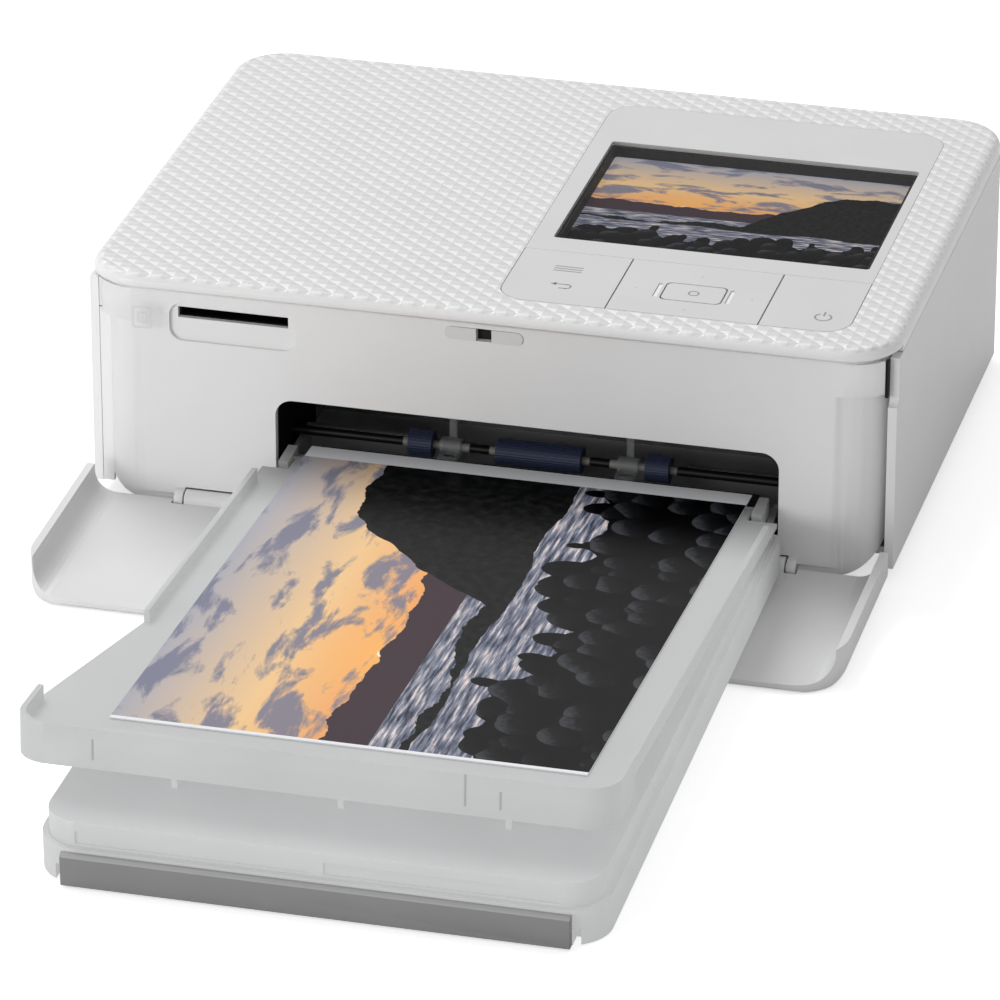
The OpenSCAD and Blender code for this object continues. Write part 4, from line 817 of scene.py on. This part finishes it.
class PRINTER_OT_trays(bpy.types.Operator):
    """Finish the cassette, its lid, the output tray and the paper"""
    bl_idname = "printer.trays"
    bl_label = "Trays and paper"

    def execute(self, context):
        finish = context.scene.printer_finish
        tint = tuple(finish.tray_tint)
        # The trays' glow is painted light, standing in for light through the frosted plastic.
        paint(tray_plastic("tray_clear", tint, share=0.92, glow=0.5), "output_tray")
        paint(tray_plastic("cassette_clear", tint, share=1.0, glow=0.5), "cassette_tray", "cassette_lid")
        # The bar's upward faces get a painted highlight.
        paint(grey_with_painted_highlight(tuple(finish.bar_grey), (0.33, 0.33, 0.33)), "cassette_front_bar")
        soften(0.25 * MM, "cassette_front_bar", "output_tray", "cassette_tray", "cassette_lid")
        lip_ridges(tray_plastic("ridge_clear", tint, share=0.75, glow=0.35))
        paint(picture_sheet(), "printed_sheet")
        paint(shaded_card((0.8, 0.81, 0.82)), "paper_stack")
        paint(metal("lift_steel", (0.6, 0.61, 0.62), 0.35, along=(20, 1, 1)).material, "lift_plate")
        return {"FINISHED"}


class PRINTER_OT_transport(bpy.types.Operator):
    """Finish the black paper tunnel, the rollers, the gears and what drives them"""
    bl_idname = "printer.transport"
    bl_label = "Paper transport"

    def execute(self, context):
        finish = context.scene.printer_finish
        black = moulded("tunnel_black", (0.004, 0.004, 0.0045), 0.6, Specular_IOR_Level=0.15).material
        paint(black, "paper_tunnel", "card_socket", "fan_frame", "fan_rotor", "ribbon_cassette")
        soft = dict(grain=0.3 * MM, depth=0.02 * MM)
        blue = moulded("roller_blue", tuple(finish.roller_blue), 0.6, **soft).material
        paint(blue, "feed_rollers")
        rubber = moulded("roller_black", (0.02, 0.02, 0.022), 0.7, **soft).material
        paint(rubber, "pinch_roller", "platen_roller")
        steel = metal("shaft_steel", (0.56, 0.57, 0.59), 0.25, along=(1, 20, 20)).material
        paint(steel, "capstan_roller", "idler_post", "feed_motor", "chassis_plates")
        paint(banded_shaft(), "feed_shaft")
        head = metal("head_aluminium", (0.75, 0.76, 0.77), 0.35, along=(1, 12, 12)).material
        paint(head, "thermal_head")
        paint(metal("pinion_brass", (0.68, 0.46, 0.17)).material, "motor_pinion")
        ivory = moulded("gear_ivory", (0.71, 0.68, 0.58), 0.35, grain=0.2 * MM, depth=0.004 * MM).material
        paint(ivory, "feed_gear", "idler_gear", "capstan_gear", "shaft_bushes", "pad_carrier")
        guide = clear_plastic("guide_clear", (0.3, 0.31, 0.32), alpha=0.35, roughness=0.15)
        paint(guide, "exit_guides")
        film = clear_plastic("ribbon_dye", (0.22, 0.06, 0.2), alpha=0.85, roughness=0.2)
        paint(film, "ribbon_film")
        paint(moulded("supply_dye", (0.5, 0.36, 0.05), 0.25).material, "supply_spool")
        paint(moulded("used_dye", (0.09, 0.04, 0.14), 0.25).material, "take_up_spool")
        board = moulded(
            "board_green", (0.012, 0.12, 0.05), 0.4, grain=0.8 * MM, depth=0.02 * MM, spread=0.15
        ).material
        paint(board, "panel_board", "main_board", "connector_board")
        return {"FINISHED"}


class PRINTER_OT_stage(bpy.types.Operator):
    """Set the floor, the soft light and the camera"""
    bl_idname = "printer.stage"
    bl_label = "Stage"

    def execute(self, context):
        stage = context.scene.printer_stage
        white_floor(stage.floor_size)
        soft_air(context.scene, stage.ambient)
        lamp("key_lamp", (-0.75, 0.6, 1.5), turn=(-21.8, -24.9, 0), size=1.0, power=stage.key_power)
        lamp("fill_lamp", (-0.78, -1.15, 0.22), turn=(81, 0, -34), size=0.8, power=stage.fill_power)
        looking_down, swing = math.radians(25.95), math.radians(14.45)
        bpy.ops.object.camera_add(
            location=(0.3631, -1.3742, 0.7126), rotation=(math.radians(90) - looking_down, 0, swing)
        )
        camera = context.object
        camera.name = "view_camera"
        camera.data.lens = stage.lens
        camera.data.sensor_width = 36
        camera.data.clip_start = 0.01
        context.scene.camera = camera
        context.scene.view_settings.view_transform = "Standard"
        deselect()
        return {"FINISHED"}


OPERATORS = (
    PRINTER_OT_housing, PRINTER_OT_panel, PRINTER_OT_screen, PRINTER_OT_trays, PRINTER_OT_transport,
    PRINTER_OT_stage,
)


class PRINTER_PT_build(bpy.types.Panel):
    """Lists the steps that dress the printer"""
    bl_idname = "PRINTER_PT_build"
    bl_label = "Photo Printer"
    bl_space_type = "VIEW_3D"
    bl_region_type = "UI"
    bl_category = "Printer"

    def draw(self, context):
        for step in OPERATORS:
            self.layout.operator(step.bl_idname)
        for group in ("printer_finish", "printer_marks", "printer_stage"):
            settings = getattr(context.scene, group)
            for name in settings.__annotations__:
                self.layout.prop(settings, name)


CLASSES = (FinishSettings, MarkSettings, StageSettings, *OPERATORS, PRINTER_PT_build)


def register():
    for cls in CLASSES:
        bpy.utils.register_class(cls)
    bpy.types.Scene.printer_finish = PointerProperty(type=FinishSettings)
    bpy.types.Scene.printer_marks = PointerProperty(type=MarkSettings)
    bpy.types.Scene.printer_stage = PointerProperty(type=StageSettings)


def unregister():
    del bpy.types.Scene.printer_stage
    del bpy.types.Scene.printer_marks
    del bpy.types.Scene.printer_finish
    for cls in reversed(CLASSES):
        bpy.utils.unregister_class(cls)


def main():
    register()
    bpy.ops.printer.housing()
    bpy.ops.printer.panel()
    bpy.ops.printer.screen()
    bpy.ops.printer.trays()
    bpy.ops.printer.transport()
    bpy.ops.printer.stage()


if __name__ == "__main__":
    main()
